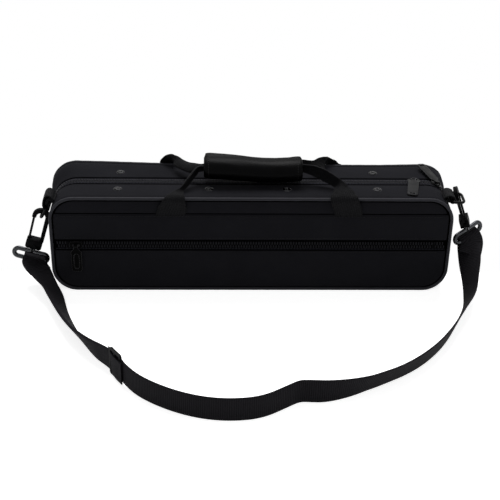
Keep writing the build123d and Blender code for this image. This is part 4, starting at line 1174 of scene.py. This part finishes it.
# the top pull hangs a little aslant, and the corner pull lies back over the corner of the case
pulls = {
    "topPivot": (172, 0, 112.3), "topTurn": -11,
    "cornerPivot": (197.75, 0, 108.401), "cornerWay": (-12, 26.5, 7.4), "cornerUp": (0.2, 0, 0.98),
    "modelTurn": 30,
}
aslant = Matrix.Rotation(math.radians(pulls["topTurn"]), 3, "Z")
reshapedCopy("top_zip_pull", "top_pull", "top_pull", nickelMetal, aslant, pulls["topPivot"])
pullWay = Vector(pulls["cornerWay"]).normalized()
pullUp = Vector(pulls["cornerUp"])
pullUp = (pullUp - pullUp.dot(pullWay) * pullWay).normalized()
modelAxes = Matrix.Rotation(math.radians(pulls["modelTurn"]), 3, "Y")
pullAxes = Matrix((pullWay.cross(pullUp), pullWay, pullUp)).transposed()
laidBack = pullAxes @ modelAxes.transposed()
reshapedCopy("corner_zip_pull", "corner_pull", "corner_pull", nickelMetal, laidBack, pulls["cornerPivot"])
fattened = (("swivel_frame", "strap_frame", frameMetal), ("cast_hook", "hook_body", blackMetal))
for new, old, material in fattened:
    for side in ("left", "right"):
        reshapedCopy(f"{side}_{new}", f"{side}_{old}", "front_half", material, fatten=0.8)

# hard pieces kept from the model
kept = {
    "top_slider": nickelMetal, "corner_slider": nickelMetal,
    "pocket_slider": pocketMetal, "pocket_pull": pocketMetal, "zip_stops": blackMetal,
    "left_d_ring": ringMetal, "right_d_ring": ringMetal,
    "left_hook_gate": ringMetal, "right_hook_gate": ringMetal,
    "strap_buckle": hookPlastic, "front_rivets": rivetMetal, "back_rivets": rivetMetal,
    "front_core": boardMaterial, "back_core": boardMaterial,
}
for name, material in kept.items():
    for materialSlot in nodes[name].material_slots:
        materialSlot.link = "OBJECT"
        materialSlot.material = material
print("hard pieces made")

# stage
# One for rays that show the surface itself: straight from the camera, mirrored or seen through
def shownRays(tree):
    paths = addNode(tree, "LightPath")
    direct = addNode(tree, "Math", {0: paths.outputs["Is Camera Ray"], 1: paths.outputs["Is Glossy Ray"]},
                     operation="MAXIMUM")
    either = addNode(tree, "Math", {0: direct.outputs[0], 1: paths.outputs["Is Transmission Ray"]},
                     operation="MAXIMUM")
    return either.outputs[0]


# board painted a matt white; its glow is seen, also in the metal, but doesn't light the cloth
stage = {"half": 6, "edge": -0.004, "tone": 0.93, "glow": 0.75, "worldLight": 0.3}
floorMaterial, tree, shader = startMaterial("plain pale floor")
shader.inputs["Base Color"].default_value = (stage["tone"], stage["tone"], stage["tone"], 1)
shader.inputs["Roughness"].default_value = 0.9
lit = addNode(tree, "Emission", {"Color": (1, 1, 1, 1), "Strength": stage["glow"]})
joined = addNode(tree, "AddShader", {0: shader.outputs[0], 1: lit.outputs[0]})
seen = addNode(tree, "MixShader", {0: shownRays(tree), 1: shader.outputs[0], 2: joined.outputs[0]})
output = [n for n in tree.nodes if n.type == "OUTPUT_MATERIAL"][0]
tree.links.new(seen.outputs[0], output.inputs["Surface"])

# the floor ends just in front of the hinge line, so that it doesn't hide the opened tray
half, edge = stage["half"], stage["edge"]
corners = [(-half, -half, 0), (half, -half, 0), (half, edge, 0), (-half, edge, 0)]
floorMesh = bpy.data.meshes.new("floor")
floorMesh.from_pydata(corners, [], [(0, 1, 2, 3)])
floor = bpy.data.objects.new("floor", floorMesh)
floor.data.materials.append(floorMaterial)
bpy.context.collection.objects.link(floor)

world = bpy.data.worlds.new("world")
bpy.context.scene.world = world
world.use_nodes = True
tree = world.node_tree
tree.nodes.clear()
soft = addNode(tree, "Background", {"Color": (1, 1, 1, 1), "Strength": stage["worldLight"]})
white = addNode(tree, "Background", {"Color": (1, 1, 1, 1), "Strength": 1.0})
mixed = addNode(tree, "MixShader", {0: shownRays(tree), 1: soft.outputs[0], 2: white.outputs[0]})
addNode(tree, "OutputWorld", {"Surface": mixed.outputs[0]})


def areaLight(name, place, aim, size, power):
    data = bpy.data.lights.new(name, "AREA")
    data.shape = "RECTANGLE"
    data.size, data.size_y = size
    data.energy = power
    lamp = bpy.data.objects.new(name, data)
    bpy.context.collection.objects.link(lamp)
    lamp.location = place
    lamp.rotation_euler = (Vector(aim) - Vector(place)).to_track_quat("-Z", "Y").to_euler()


# place, aim and size in metres, and power in watts
lights = {
    "key": ((0.0, 0.75, 1.6), (0, 0, 0.05), (1.2, 0.8), 32),
    "fill": ((-0.9, -1.3, 1.0), (0, -0.1, 0.05), (1.0, 1.0), 1.8),
    "side": ((1.3, -0.6, 0.8), (0, -0.05, 0.05), (0.8, 0.8), 2.5),
}
for name, light in lights.items():
    areaLight(name, *light)
bpy.context.scene.view_settings.view_transform = "Standard"
print("stage made")
